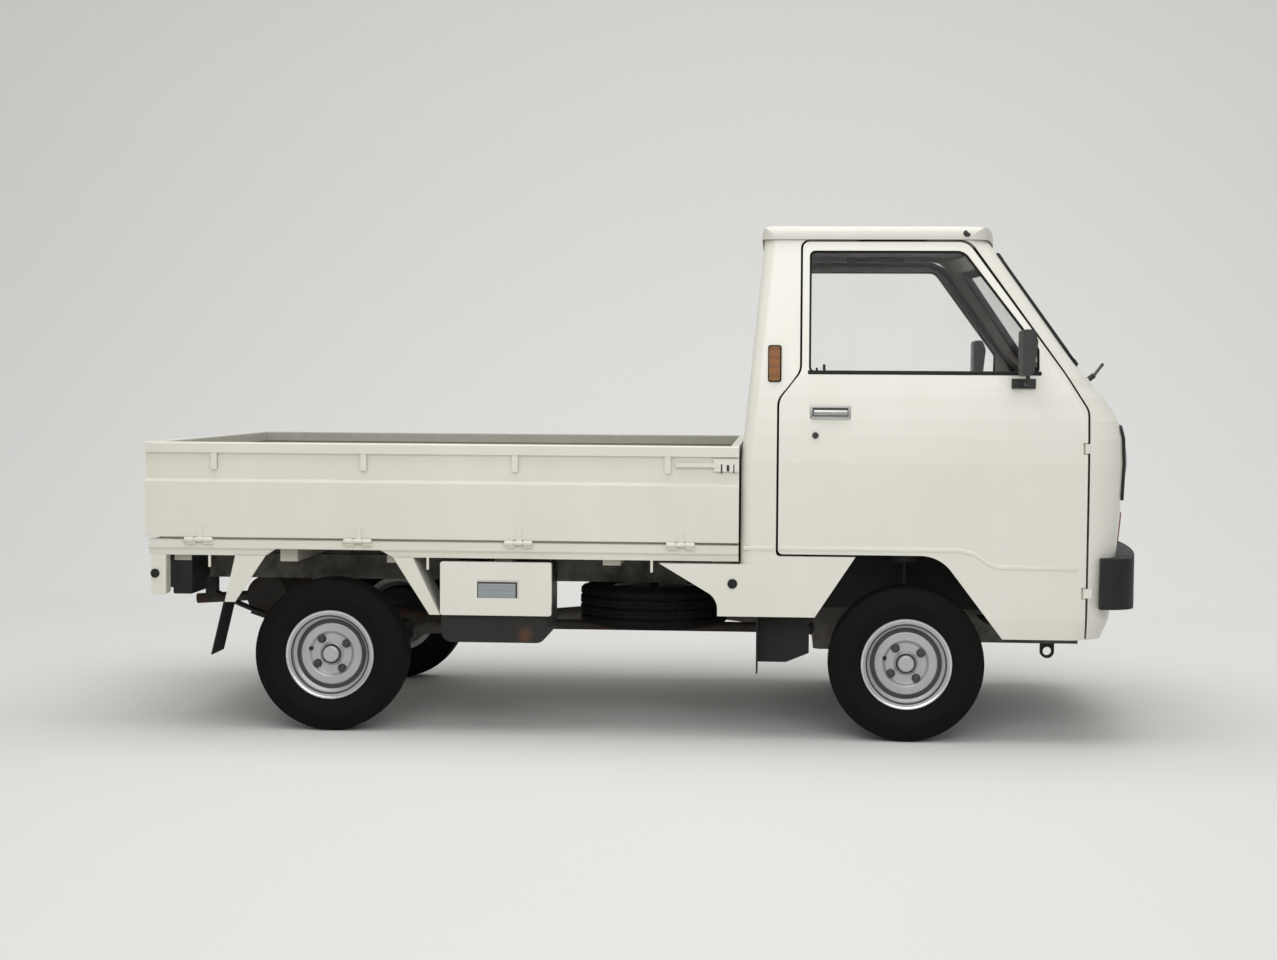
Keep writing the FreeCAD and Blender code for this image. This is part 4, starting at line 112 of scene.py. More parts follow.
def speckle(tree, place, scale, detail=3.0, stretch=None):
    """Soft noise over the object, with its axes stretched where the mark runs one way."""
    if stretch:
        turn = tree.nodes.new("ShaderNodeMapping")
        turn.inputs["Scale"].default_value = stretch
        tree.links.new(place, turn.inputs["Vector"])
        place = turn.outputs[0]
    step = tree.nodes.new("ShaderNodeTexNoise")
    tree.links.new(place, step.inputs["Vector"])
    feed(tree, step.inputs["Scale"], scale)
    step.inputs["Detail"].default_value = detail
    return step.outputs["Fac"]


def effect_group(name, inputs, outputs):
    """Empty shader group with named sockets."""
    tree = bpy.data.node_groups.new(name, "ShaderNodeTree")
    for label, kind, value in inputs:
        socket = tree.interface.new_socket(label, in_out="INPUT", socket_type=kind)
        socket.default_value = value
    for label, kind in outputs:
        tree.interface.new_socket(label, in_out="OUTPUT", socket_type=kind)
    return tree, tree.nodes.new("NodeGroupInput"), tree.nodes.new("NodeGroupOutput")


NUMBER = "NodeSocketFloat"
COLOUR = "NodeSocketColor"
# Painted shade inside the cab and the bed: the point its faces turn to, the heights where it comes in, its darkest
# tone.
inner_shade_middle = (0.85, 0.0, 1.25)
inner_shade_starts, inner_shade_full = 0.62, 0.66
far_below = -9.0
painted_inner_shade = (0.17, 0.153, 0.126, 1)
wear_and_shade, wear_and_shade_in, wear_and_shade_out = effect_group(
    "enamel_wear_and_inner_shade",
    [("Colour", COLOUR, (0.7, 0.7, 0.65, 1)), ("Faded", COLOUR, (0.65, 0.65, 0.58, 1)),
     ("Dust", COLOUR, (0.3, 0.26, 0.2, 1)), ("Dust Height", NUMBER, 0.5), ("Dust Amount", NUMBER, 0.5),
     ("Gloss", NUMBER, 0.3), ("Grain Scale", NUMBER, 420.0), ("Inner Shade", COLOUR, (0.35, 0.325, 0.28, 1)),
     ("Inner Shade Amount", NUMBER, 0.0)],
    [("Colour", COLOUR), ("Roughness", NUMBER), ("Height", NUMBER)])
where = wear_and_shade.nodes.new("ShaderNodeTexCoord").outputs["Object"]
split = wear_and_shade.nodes.new("ShaderNodeSeparateXYZ")
wear_and_shade.links.new(where, split.inputs[0])
patches = speckle(wear_and_shade, where, scale=1.9, detail=4.0)
streaks = speckle(wear_and_shade, where, scale=9.0, stretch=(1.0, 1.0, 0.08))
fade = maths(wear_and_shade, "ADD", maths(wear_and_shade, "MULTIPLY", patches, 0.7), maths(wear_and_shade, "MULTIPLY", streaks, 0.3))
fade = spread(wear_and_shade, fade, 0.38, 0.66)
low_down = spread(wear_and_shade, split.outputs["Z"], 0.0, wear_and_shade_in.outputs["Dust Height"], 1.0, 0.0)
dust = maths(wear_and_shade, "MULTIPLY", maths(wear_and_shade, "MULTIPLY", low_down, low_down),
             spread(wear_and_shade, speckle(wear_and_shade, where, scale=13.0, detail=6.0), 0.3, 0.7, 0.35, 1.0))
dust = maths(wear_and_shade, "MULTIPLY", dust, wear_and_shade_in.outputs["Dust Amount"], clamp=True)
specks = spread(wear_and_shade, speckle(wear_and_shade, where, scale=160.0, detail=2.0), 0.71, 0.78, 0.0, 0.35)
tone = blend_colour(wear_and_shade, fade, wear_and_shade_in.outputs["Colour"], wear_and_shade_in.outputs["Faded"])
tone = blend_colour(wear_and_shade, maths(wear_and_shade, "MAXIMUM", dust, specks), tone, wear_and_shade_in.outputs["Dust"])
# Sides that face the middle of the cab, above the floor's level, are darkened grey-brown: painted shade in cab and
# bed.
from_middle = wear_and_shade.nodes.new("ShaderNodeVectorMath")
from_middle.operation = "SUBTRACT"
wear_and_shade.links.new(where, from_middle.inputs[0])
from_middle.inputs[1].default_value = inner_shade_middle
above = wear_and_shade.nodes.new("ShaderNodeVectorMath")
above.operation = "MAXIMUM"
wear_and_shade.links.new(from_middle.outputs["Vector"], above.inputs[0])
above.inputs[1].default_value = (far_below, far_below, 0.0)
facing = wear_and_shade.nodes.new("ShaderNodeVectorMath")
facing.operation = "DOT_PRODUCT"
wear_and_shade.links.new(above.outputs["Vector"], facing.inputs[0])
wear_and_shade.links.new(wear_and_shade.nodes.new("ShaderNodeTexCoord").outputs["Normal"], facing.inputs[1])
inner_shade_mask = maths(wear_and_shade, "MULTIPLY", spread(wear_and_shade, facing.outputs["Value"], -0.10, -0.15),
              spread(wear_and_shade, split.outputs["Z"], inner_shade_starts, inner_shade_full))
inner_shade_mask = maths(wear_and_shade, "MULTIPLY", inner_shade_mask, wear_and_shade_in.outputs["Inner Shade Amount"], clamp=True)
mottled_inner_shade = blend_colour(wear_and_shade, speckle(wear_and_shade, where, scale=30.0, detail=5.0), wear_and_shade_in.outputs["Inner Shade"], painted_inner_shade)
wear_and_shade.links.new(blend_colour(wear_and_shade, inner_shade_mask, tone, mottled_inner_shade), wear_and_shade_out.inputs["Colour"])
rough = maths(wear_and_shade, "ADD", wear_and_shade_in.outputs["Gloss"], maths(wear_and_shade, "MULTIPLY", fade, 0.10))
rough = maths(wear_and_shade, "ADD", rough, maths(wear_and_shade, "MULTIPLY", inner_shade_mask, 0.35))
rough = maths(wear_and_shade, "ADD", rough, maths(wear_and_shade, "MULTIPLY", dust, 0.45), clamp=True)
wear_and_shade.links.new(rough, wear_and_shade_out.inputs["Roughness"])
skin = maths(wear_and_shade, "MULTIPLY", speckle(wear_and_shade, where, wear_and_shade_in.outputs["Grain Scale"], detail=2.0), 0.5)
skin = maths(wear_and_shade, "ADD", skin, maths(wear_and_shade, "MULTIPLY", speckle(wear_and_shade, where, scale=7.0, detail=2.0), 0.5))
wear_and_shade.links.new(skin, wear_and_shade_out.inputs["Height"])


def finish(name, group, values, bump, **surface):
    """Material: one effect group feeds a Principled shader; plain numbers sit on the shader's own sockets.

    bump is the relief's strength and its height in metres."""
    material = bpy.data.materials.new(name)
    material.use_nodes = True
    tree = material.node_tree
    shader = tree.nodes["Principled BSDF"]
    effect = tree.nodes.new("ShaderNodeGroup")
    effect.node_tree = group
    for label, value in values.items():
        effect.inputs[label].default_value = value
    tree.links.new(effect.outputs["Colour"], shader.inputs["Base Color"])
    tree.links.new(effect.outputs["Roughness"], shader.inputs["Roughness"])
    relief = tree.nodes.new("ShaderNodeBump")
    relief.inputs["Strength"].default_value, relief.inputs["Distance"].default_value = bump
    tree.links.new(effect.outputs["Height"], relief.inputs["Height"])
    tree.links.new(relief.outputs["Normal"], shader.inputs["Normal"])
    for label, value in surface.items():
        shader.inputs[label.replace("_", " ")].default_value = value
    return material


def dress(material, *names):
    """Give CAD nodes their finish through their material slots."""
    for name in names:
        for place in nodes[name].material_slots:
            place.material = material


# The cab, its roof, the bed and the bed's worn floor differ in colour and gloss. The roof's cream is painted darker
# than the cab's: painted shade that offsets the overhead lamp's stronger light on it.
cream = finish("cream_enamel", wear_and_shade, {
    "Colour": (0.735, 0.722, 0.650, 1), "Faded": (0.705, 0.690, 0.612, 1), "Dust": (0.50, 0.45, 0.37, 1),
    "Dust Height": 0.62, "Dust Amount": 0.4, "Gloss": 0.26, "Inner Shade Amount": 1.0}, (0.12, 0.002), Coat_Weight=0.35,
    Coat_Roughness=0.12)
dress(cream, "cab_back_wall", "cab_side_right", "cab_side_left", "cab_nose", "windscreen_frame", "door_right",
      "door_left", "tank_cover")
dress(finish("roof_enamel_painted_darker", wear_and_shade, {
    "Colour": (0.597, 0.587, 0.530, 1), "Faded": (0.573, 0.561, 0.498, 1), "Dust": (0.50, 0.45, 0.37, 1),
    "Dust Height": 0.62, "Dust Amount": 0.4, "Gloss": 0.4, "Inner Shade Amount": 1.0}, (0.12, 0.002), Coat_Weight=0.1,
    Coat_Roughness=0.2), "cab_roof")
# The bed's inward faces carry a grey painted shade.
bed_cream = finish("bed_enamel", wear_and_shade, {
    "Colour": (0.725, 0.715, 0.635, 1), "Faded": (0.665, 0.650, 0.560, 1), "Dust": (0.42, 0.37, 0.29, 1),
    "Dust Height": 0.75, "Dust Amount": 0.35, "Gloss": 0.34, "Inner Shade": (0.30, 0.30, 0.275, 1),
    "Inner Shade Amount": 0.8}, (0.18, 0.002), Coat_Weight=0.15, Coat_Roughness=0.2)
dress(bed_cream, "headboard", "side_gate_right", "side_gate_left", "tailgate", "bed_side_rails", "rear_panel",
      "rear_wings")
worn_bed = finish("worn_bed_enamel", wear_and_shade, {
    "Colour": (0.60, 0.585, 0.50, 1), "Faded": (0.44, 0.42, 0.36, 1), "Dust": (0.22, 0.19, 0.15, 1),
    "Dust Height": 1.2, "Dust Amount": 0.9, "Gloss": 0.48}, (0.35, 0.002))
dress(worn_bed, "bed_floor")

# Window glass and its rubber: flat tempered panes in black moulded gaskets pressed over the panel edges.
# Each gasket is a lip along its pane's rim, raised to the height of the panel.


def clear_glass(name, tint):
    """Clear pane with a faint film of dirt; plain numbers stay on the shader's own sockets."""
    film_shade = 0.98
    clean_coat, filmed_coat = 0.1, 0.06
    material = bpy.data.materials.new(name)
    material.use_nodes = True
    shader = material.node_tree.nodes["Principled BSDF"]
    for label, value in (("Base Color", tint), ("Roughness", 0.0), ("IOR", 1.1), ("Transmission Weight", 1.0),
                         ("Specular IOR Level", 0.5), ("Coat Weight", clean_coat), ("Coat Roughness", 0.02)):
        shader.inputs[label].default_value = value
    tree = material.node_tree
    place = tree.nodes.new("ShaderNodeTexCoord").outputs["Object"]
    film = spread(tree, speckle(tree, place, scale=5.0, detail=4.0), 0.45, 0.8)
    dirty = tuple(channel * film_shade for channel in tint[:3]) + (1,)
    tree.links.new(blend_colour(tree, film, tint, dirty), shader.inputs["Base Color"])
    tree.links.new(spread(tree, film, 0.0, 1.0, clean_coat, filmed_coat), shader.inputs["Coat Weight"])
    return material


pane = clear_glass("window_glass", (0.985, 0.989, 0.984, 1))
dress(pane, "cab_glass", "door_glass_right", "door_glass_left")

grained, grained_in, grained_out = effect_group(
    "moulded_grain",
    [("Colour", COLOUR, (0.02, 0.02, 0.02, 1)), ("Bloom", COLOUR, (0.07, 0.07, 0.065, 1)),
     ("Bloom Amount", NUMBER, 0.4), ("Gloss", NUMBER, 0.5), ("Grain Scale", NUMBER, 700.0)],
    [("Colour", COLOUR), ("Roughness", NUMBER), ("Height", NUMBER)])
where = grained.nodes.new("ShaderNodeTexCoord").outputs["Object"]
bloom = spread(grained, speckle(grained, where, scale=11.0, detail=6.0), 0.35, 0.75)
bloom = maths(grained, "MULTIPLY", bloom, grained_in.outputs["Bloom Amount"])
fine = speckle(grained, where, grained_in.outputs["Grain Scale"], detail=2.0)
grained.links.new(blend_colour(grained, bloom, grained_in.outputs["Colour"], grained_in.outputs["Bloom"]),
                  grained_out.inputs["Colour"])
rough = maths(grained, "ADD", grained_in.outputs["Gloss"], maths(grained, "MULTIPLY", bloom, 0.3))
rough = maths(grained, "ADD", rough, maths(grained, "MULTIPLY", fine, 0.1), clamp=True)
grained.links.new(rough, grained_out.inputs["Roughness"])
grained.links.new(fine, grained_out.inputs["Height"])

seal_rubber = finish("seal_rubber", grained, {
    "Colour": (0.0055, 0.0055, 0.0055, 1), "Bloom": (0.02, 0.02, 0.019, 1), "Bloom Amount": 0.45, "Gloss": 0.55},
    (0.2, 0.0006), Specular_IOR_Level=0.35)


def only(piece):
    """Make one object active and selected."""
    bpy.ops.object.select_all(action="DESELECT")
    piece.select_set(True)
    bpy.context.view_layer.objects.active = piece


def pick_faces(piece, wanted):
    """Select the faces that a test of centre and normal wants; leaves the object in edit mode."""
    bpy.ops.object.mode_set(mode="EDIT")
    bpy.ops.mesh.select_all(action="DESELECT")
    bpy.ops.mesh.select_mode(type="FACE")
    bpy.ops.object.mode_set(mode="OBJECT")
    for face in piece.data.polygons:
        face.select = bool(wanted(face.center, face.normal))
    bpy.ops.object.mode_set(mode="EDIT")


def set_down(piece, name, material, body, slot):
    """Name a finished piece, smooth it, give it its finish and let it ride on its body."""
    bpy.ops.object.mode_set(mode="OBJECT")
    only(piece)
    bpy.ops.object.transform_apply(location=True, rotation=True, scale=True)
    bpy.ops.object.shade_smooth_by_angle(angle=math.radians(35))
    piece.name = name
    piece.data.name = name
    piece.data.materials.clear()
    piece.data.materials.append(material)
    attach(piece, body)
    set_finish(piece, slot)
    return piece


def node_copy(name):
    """Own copy of a CAD node's mesh, with its loose corners merged."""
    piece = nodes[name].copy()
    piece.data = nodes[name].data.copy()
    for key in list(piece.keys()):
        del piece[key]
    piece.parent = None
    bpy.context.scene.collection.objects.link(piece)
    only(piece)
    bpy.ops.object.mode_set(mode="EDIT")
    bpy.ops.mesh.select_all(action="SELECT")
    bpy.ops.mesh.remove_doubles(threshold=0.00005)
    bpy.ops.object.mode_set(mode="OBJECT")
    return piece


def gasket(name, pane_node, outer, width, lift, body):
    """Rubber lip round a pane: its outer face is kept, ringed by an inset, and the ring raised."""
    piece = node_copy(pane_node)
    pick_faces(piece, lambda centre, normal: not outer(centre, normal))
    bpy.ops.mesh.delete(type="FACE")
    bpy.ops.mesh.select_all(action="SELECT")
    bpy.ops.mesh.inset(thickness=width, depth=0.0, use_boundary=True)
    bpy.ops.mesh.delete(type="FACE")
    bpy.ops.mesh.select_all(action="SELECT")
    bpy.ops.mesh.extrude_region_shrink_fatten(TRANSFORM_OT_shrink_fatten={"value": lift})
    bpy.ops.mesh.bevel(offset=min(width, abs(lift)) * 0.3, segments=2, affect="EDGES")
    bpy.ops.mesh.select_all(action="SELECT")
    bpy.ops.mesh.normals_make_consistent(inside=False)
    return set_down(piece, name, seal_rubber, body, "rubber")


gasket("door_seal_right", "door_glass_right", lambda c, n: n.y < -0.6, width=0.007, lift=0.004,
       body="door_right")
gasket("door_seal_left", "door_glass_left", lambda c, n: n.y > 0.6, width=0.007, lift=0.004,
       body="door_left")
between_windows = 0.7
gasket("screen_seal", "cab_glass", lambda c, n: n.x > 0.3 and c.x > between_windows, width=0.026, lift=0.022,
       body="body")
gasket("rear_window_seal", "cab_glass", lambda c, n: n.x < -0.6 and c.x < between_windows, width=0.022, lift=0.008,
       body="body")

# Weatherstrips: soft rubber pushed on the body's flange round each door opening.
# They close the gap between door and body, and show as a thin dark line in it.


def twin(piece, name, body, shift=(0, 0, 0), mirror=False):
    """Copy of a finished piece with its own mesh, moved or mirrored to the left side."""
    double = bpy.data.objects.new(name, piece.data.copy())
    double.data.name = name
    bpy.context.scene.collection.objects.link(double)
    if mirror:
        double.data.transform(Matrix.Diagonal((1, -1, 1, 1)))
        double.data.flip_normals()
    double.data.transform(Matrix.Translation(shift))
    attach(double, body)
    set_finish(double, piece["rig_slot"])
    return double


def band(path, across, through, edge):
    """Strip along a path of points, widened by one vector and thickened by another; left in edit mode."""
    bpy.ops.object.select_all(action="DESELECT")
    bpy.ops.mesh.primitive_plane_add(size=0.001, location=path[0])
    piece = bpy.context.object
    bpy.ops.object.transform_apply(location=True, rotation=True, scale=True)
    bpy.ops.object.mode_set(mode="EDIT")
    bpy.ops.mesh.select_mode(type="VERT")
    bpy.ops.mesh.select_all(action="SELECT")
    bpy.ops.mesh.merge(type="CENTER")
    for before, after in zip(path, path[1:]):
        bpy.ops.mesh.extrude_region_move(TRANSFORM_OT_translate={"value": Vector(after) - Vector(before)})
    for step in (across, through):
        bpy.ops.mesh.select_all(action="SELECT")
        bpy.ops.mesh.extrude_region_move(TRANSFORM_OT_translate={"value": step})
    bpy.ops.mesh.select_all(action="SELECT")
    bpy.ops.mesh.normals_make_consistent(inside=False)
    bpy.ops.mesh.bevel(offset=edge, segments=2, affect="EDGES")
    return piece


opening = [(0.495, 1.160), (0.495, 1.577), (0.988, 1.577), (1.042, 1.550), (1.086, 1.494), (1.151, 1.405),
           (1.216, 1.311), (1.282, 1.224), (1.325, 1.162)]
belt_side, belt_height, side_lean = -0.632, 1.15, 0.1674
weatherstrip = set_down(band([(x, belt_side + side_lean * (z - belt_height), z) for x, z in opening],
                             (-0.018, 0, -0.016), (0, 0.004, 0), 0.0008),
                        "weatherstrip_right", seal_rubber, "body", "rubber")
twin(weatherstrip, "weatherstrip_left", "body", mirror=True)

# Side lamp rims: rubber frames between the amber lamps and the cab's corner panels.
# Each is the lamp's own outline made a little larger and pressed on behind it.
lamp_middle = (0.406, -0.68, 1.1885)
front_lamps_from = 0.6
lamp_rim = node_copy("amber_lamps")
pick_faces(lamp_rim, lambda c, n: c.x > front_lamps_from or c.y > 0)
bpy.ops.mesh.delete(type="FACE")
bpy.ops.mesh.select_all(action="SELECT")
bpy.ops.transform.resize(value=(1.24, 1.0, 1.08), center_override=lamp_middle)
bpy.ops.transform.translate(value=(0, 0.004, 0))
lamp_rim = set_down(lamp_rim, "side_lamp_rim_right", seal_rubber, "body", "rubber")
twin(lamp_rim, "side_lamp_rim_left", "body", mirror=True)

# Pressed beads: folds in the door over the wheel arch and in the body over the sill behind it.
# They are part of the panels' sheet and painted with them.
bead_side, bead_width, bead_height, bead_edge = -0.6968, 0.013, 0.0034, 0.0014
for name, path, body in (
        ("arch_bead_right", [(0.426, 0.617), (0.985, 0.617), (1.035, 0.606), (1.075, 0.578), (1.105, 0.566),
                             (1.352, 0.564)], "door_right"),
        ("sill_bead_right", [(0.316, 0.617), (0.410, 0.617)], "body")):
    bead = set_down(band([(x, bead_side, z) for x, z in path], (0, 0, -bead_width), (0, -bead_height, 0), bead_edge),
                    name, cream, body, "paint")
    twin(bead, name.replace("right", "left"), body.replace("right", "left"), mirror=True)

# Window sill strips and lock pins: rubber wiper along the foot of each door's window, and the pin that locks it.
# The strip is clipped over the door's edge; the pin slides in a hole behind it.


def block(low, high, edge, rounds=3):
    """Cube at its place and size, its edges bevelled in edit mode; left in edit mode."""
    low, high = Vector(low), Vector(high)
    bpy.ops.object.select_all(action="DESELECT")
    bpy.ops.mesh.primitive_cube_add(size=1.0, location=(low + high) / 2)
    piece = bpy.context.object
    piece.scale = high - low
    bpy.ops.object.transform_apply(location=True, rotation=True, scale=True)
    bpy.ops.object.mode_set(mode="EDIT")
    bpy.ops.mesh.select_all(action="SELECT")
    bpy.ops.mesh.bevel(offset=edge, segments=rounds, affect="EDGES")
    return piece


def disc(centre, radius, depth, steps, edge, axis=(0, 1, 0)):
    """Short cylinder, across the truck unless another axis is given, its rims bevelled; left in edit mode."""
    turn = Vector((0, 0, 1)).rotation_difference(Vector(axis)).to_euler()
    bpy.ops.object.select_all(action="DESELECT")
    bpy.ops.mesh.primitive_cylinder_add(vertices=steps, radius=radius, depth=depth, location=centre, rotation=turn)
    piece = bpy.context.object
    bpy.ops.object.transform_apply(location=True, rotation=True, scale=True)
    bpy.ops.object.mode_set(mode="EDIT")
    bpy.ops.mesh.select_all(action="DESELECT")
    bpy.ops.mesh.select_mode(type="EDGE")
    bpy.ops.object.mode_set(mode="OBJECT")
    along = Vector(axis).normalized()
    for line in piece.data.edges:
        first, second = (piece.data.vertices[i].co for i in line.vertices)
        line.select = abs((second - first).normalized().dot(along)) < 0.5
    bpy.ops.object.mode_set(mode="EDIT")
    bpy.ops.mesh.bevel(offset=edge, segments=3, affect="EDGES")
    return piece


sill_strip = set_down(block((0.512, -0.6765, 1.155), (1.235, -0.664, 1.168), 0.0025), "sill_strip_right",
                      seal_rubber, "door_right", "rubber")
twin(sill_strip, "sill_strip_left", "door_left", mirror=True)
satin_black = finish("satin_black", grained, {
    "Colour": (0.014, 0.014, 0.014, 1), "Bloom": (0.06, 0.058, 0.052, 1), "Bloom Amount": 0.45, "Gloss": 0.38},
    (0.25, 0.0008))
lock_pin = set_down(disc((0.563, -0.650, 1.176), radius=0.0045, depth=0.022, steps=16, edge=0.0015, axis=(0, 0, 1)),
                    "lock_pin_right", satin_black, "door_right", "black_plastic")
twin(lock_pin, "lock_pin_left", "door_left", mirror=True)

# Grab handles and roof plugs: moulded bars screwed to the roof's lining, and rubber plugs pressed in its edge.
# The bar's two feet go into the lining.


def fused(pieces):
    """Several blocks joined as one object."""
    bpy.ops.object.mode_set(mode="OBJECT")
    bpy.ops.object.select_all(action="DESELECT")
    for piece in pieces:
        piece.select_set(True)
    bpy.context.view_layer.objects.active = pieces[0]
    bpy.ops.object.join()
    return pieces[0]


def block_group(*parts):
    """Blocks given by low corner, high corner and edge radius, joined as one object."""
    made = []
    for part in parts:
        made.append(block(*part))
        bpy.ops.object.mode_set(mode="OBJECT")
    return fused(made)


grab = set_down(block_group(
    ((0.665, -0.566, 1.578), (0.885, -0.550, 1.595), 0.006),
    ((0.668, -0.584, 1.577), (0.700, -0.556, 1.596), 0.005),
    ((0.850, -0.584, 1.577), (0.882, -0.556, 1.596), 0.005)), "grab_handle_right", satin_black, "body",
    "black_plastic")
twin(grab, "grab_handle_left", "body", mirror=True)
roof_plug = set_down(disc((1.005, -0.6115, 1.599), radius=0.012, depth=0.005, steps=20, edge=0.0015,
                          axis=(0.25, -0.75, 0.6)), "roof_plug_right", seal_rubber, "body", "rubber")
twin(roof_plug, "roof_plug_left", "body", mirror=True)

# Door handles and locks: a chromed die-cast pull bar in a grey surround, its slot painted shade in black, and a key
# lock.
# They are screwed to the door from inside.


def bright_metal(name, colour, gloss):
    """Bare or plated metal, a little duller in patches."""
    dull = tuple(channel * 0.6 for channel in colour[:3]) + (1,)
    return finish(name, grained, {"Colour": colour, "Bloom": dull, "Bloom Amount": 0.35, "Gloss": gloss,
                                  "Grain Scale": 1500.0}, (0.06, 0.0003), Metallic=1.0)


chrome = bright_metal("dull_chrome", (0.46, 0.46, 0.445, 1), 0.2)
door_flat = -0.6865
surround = set_down(block((0.5195, -0.6900, 1.0165), (0.6465, door_flat, 1.0575), 0.0015), "handle_surround_right",
                    bright_metal("surround_grey", (0.40, 0.40, 0.385, 1), 0.35), "door_right", "wheel_silver")
twin(surround, "handle_surround_left", "door_left", mirror=True)
# A black block fills the handle's pocket: painted shade.
recess_shade = set_down(block((0.5270, -0.6908, 1.0250), (0.6390, door_flat, 1.0520), 0.0015), "handle_recess_right",
                  satin_black, "door_right", "black_plastic")
twin(recess_shade, "handle_recess_left", "door_left", mirror=True)
handle = set_down(block_group(
    ((0.5300, -0.6965, 1.0270), (0.6380, -0.6885, 1.0445), 0.0035),
    ((0.5240, -0.6985, 1.0165), (0.6450, -0.6950, 1.0205), 0.0012),
    ((0.533, -0.694, 1.029), (0.636, -0.684, 1.036), 0.003),
    ((0.548, -0.688, 1.03), (0.556, -0.67, 1.044), 0.002),
    ((0.616, -0.688, 1.03), (0.624, -0.67, 1.044), 0.002)), "handle_right", chrome, "door_right", "wheel_silver")
twin(handle, "handle_left", "door_left", mirror=True)
lock = set_down(disc((0.537, -0.6955, 0.965), radius=0.010, depth=0.008, steps=24, edge=0.0015), "lock_right",
                satin_black, "door_right", "black_plastic")
twin(lock, "lock_left", "door_left", mirror=True)

# Tyres: black cross-ply rubber with three grooves round the tread and sipes across it, blown up on disc wheels.
# The profile is drawn point by point, spun round the axle, and each tread block is then raised.
tyre_rubber = finish("tyre_rubber", grained, {
    "Colour": (0.0030, 0.0031, 0.0028, 1), "Bloom": (0.010, 0.0095, 0.0085, 1), "Bloom Amount": 0.45,
    "Gloss": 0.68, "Grain Scale": 520.0}, (0.35, 0.0008), Specular_IOR_Level=0.15)


def spun(points, centre, steps):
    """Closed ring: a profile of (across, out) points round a wheel's axle; left in edit mode."""
    bpy.ops.object.select_all(action="DESELECT")
    corners = [Vector((centre[0], centre[1] + across, centre[2] + out)) for across, out in points]
    bpy.ops.mesh.primitive_plane_add(size=0.001, location=corners[0])
    piece = bpy.context.object
    bpy.ops.object.transform_apply(location=True, rotation=True, scale=True)
    bpy.ops.object.mode_set(mode="EDIT")
    bpy.ops.mesh.select_mode(type="VERT")
    bpy.ops.mesh.select_all(action="SELECT")
    bpy.ops.mesh.merge(type="CENTER")
    for before, after in zip(corners, corners[1:]):
        bpy.ops.mesh.extrude_region_move(TRANSFORM_OT_translate={"value": after - before})
    bpy.ops.mesh.select_all(action="SELECT")
    bpy.ops.mesh.spin(steps=steps, angle=2 * math.pi, center=centre, axis=(0, 1, 0))
    bpy.ops.mesh.select_all(action="SELECT")
    bpy.ops.mesh.remove_doubles(threshold=0.0001)
    bpy.ops.mesh.normals_make_consistent(inside=False)
    return piece


axle = pivots["wheel_rear_right_spin"]
tread_starts, sipe_width, block_rise = 0.2405, 0.0013, 0.0019
half_profile = [(0.045, 0.1275), (0.05, 0.129), (0.0525, 0.14), (0.0555, 0.143), (0.059, 0.148), (0.066, 0.168),
                (0.0685, 0.176), (0.0695, 0.1775), (0.0698, 0.19), (0.0695, 0.2035), (0.068, 0.206),
                (0.0655, 0.219), (0.0635, 0.221), (0.061, 0.2295), (0.0575, 0.2385), (0.054, 0.2415),
                (0.036, 0.2428), (0.0345, 0.2365), (0.0295, 0.2365), (0.028, 0.2432), (0.0155, 0.2436),
                (0.004, 0.2438), (0.0028, 0.237)]
tyre_points = half_profile + [(-across, out) for across, out in reversed(half_profile)] + [half_profile[0]]
tyre = spun(tyre_points, axle, steps=90)


def tread_block(centre, normal):
    """Faces round the outside of the tyre, between its grooves."""
    out = Vector((centre.x - axle.x, 0, centre.z - axle.z))
    return out.length > tread_starts and normal.dot(out.normalized()) > 0.95


pick_faces(tyre, tread_block)
bpy.ops.mesh.inset(thickness=sipe_width, depth=block_rise, use_individual=True)
tyre = set_down(tyre, "tread_tyre_rear_right", tyre_rubber, "wheel_rear_right", "tyre")
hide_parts("tyre_rear_right")
for side in ("right", "left"):
    copy = twin(tyre, f"tread_tyre_front_{side}", f"wheel_front_{side}", pivots[f"wheel_front_{side}_spin"] - axle)
    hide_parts(f"tyre_front_{side}")
copy = twin(tyre, "tread_tyre_rear_left", "wheel_rear_left", pivots["wheel_rear_left_spin"] - axle)
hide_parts("tyre_rear_left")
spare_low, spare_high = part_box("spare_tyre")
spare = twin(tyre, "tread_tyre_spare", "body")
spare.data.transform(Matrix.Translation((spare_low + spare_high) / 2) @ Matrix.Rotation(math.pi / 2, 4, "X")
                     @ Matrix.Translation(-axle))
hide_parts("spare_tyre")

# Disc wheels: rolled rim and pressed disc in silver enamel, polished at the edge; its dark rings are painted shade.
# Four nuts with washers hold each wheel, and a rubber valve stands in the disc.
wheel_silver = finish("wheel_silver", wear_and_shade, {
    "Colour": (0.56, 0.57, 0.572, 1), "Faded": (0.43, 0.435, 0.43, 1), "Dust": (0.14, 0.12, 0.10, 1),
    "Dust Height": 0.9, "Dust Amount": 0.3, "Gloss": 0.3, "Grain Scale": 800.0}, (0.2, 0.0008), Metallic=0.55)
dress(wheel_silver, "rim_front_right", "rim_front_left", "rim_rear_right", "rim_rear_left", "spare_rim")
polished = bright_metal("polished_rim_edge", (0.66, 0.67, 0.68, 1), 0.22)
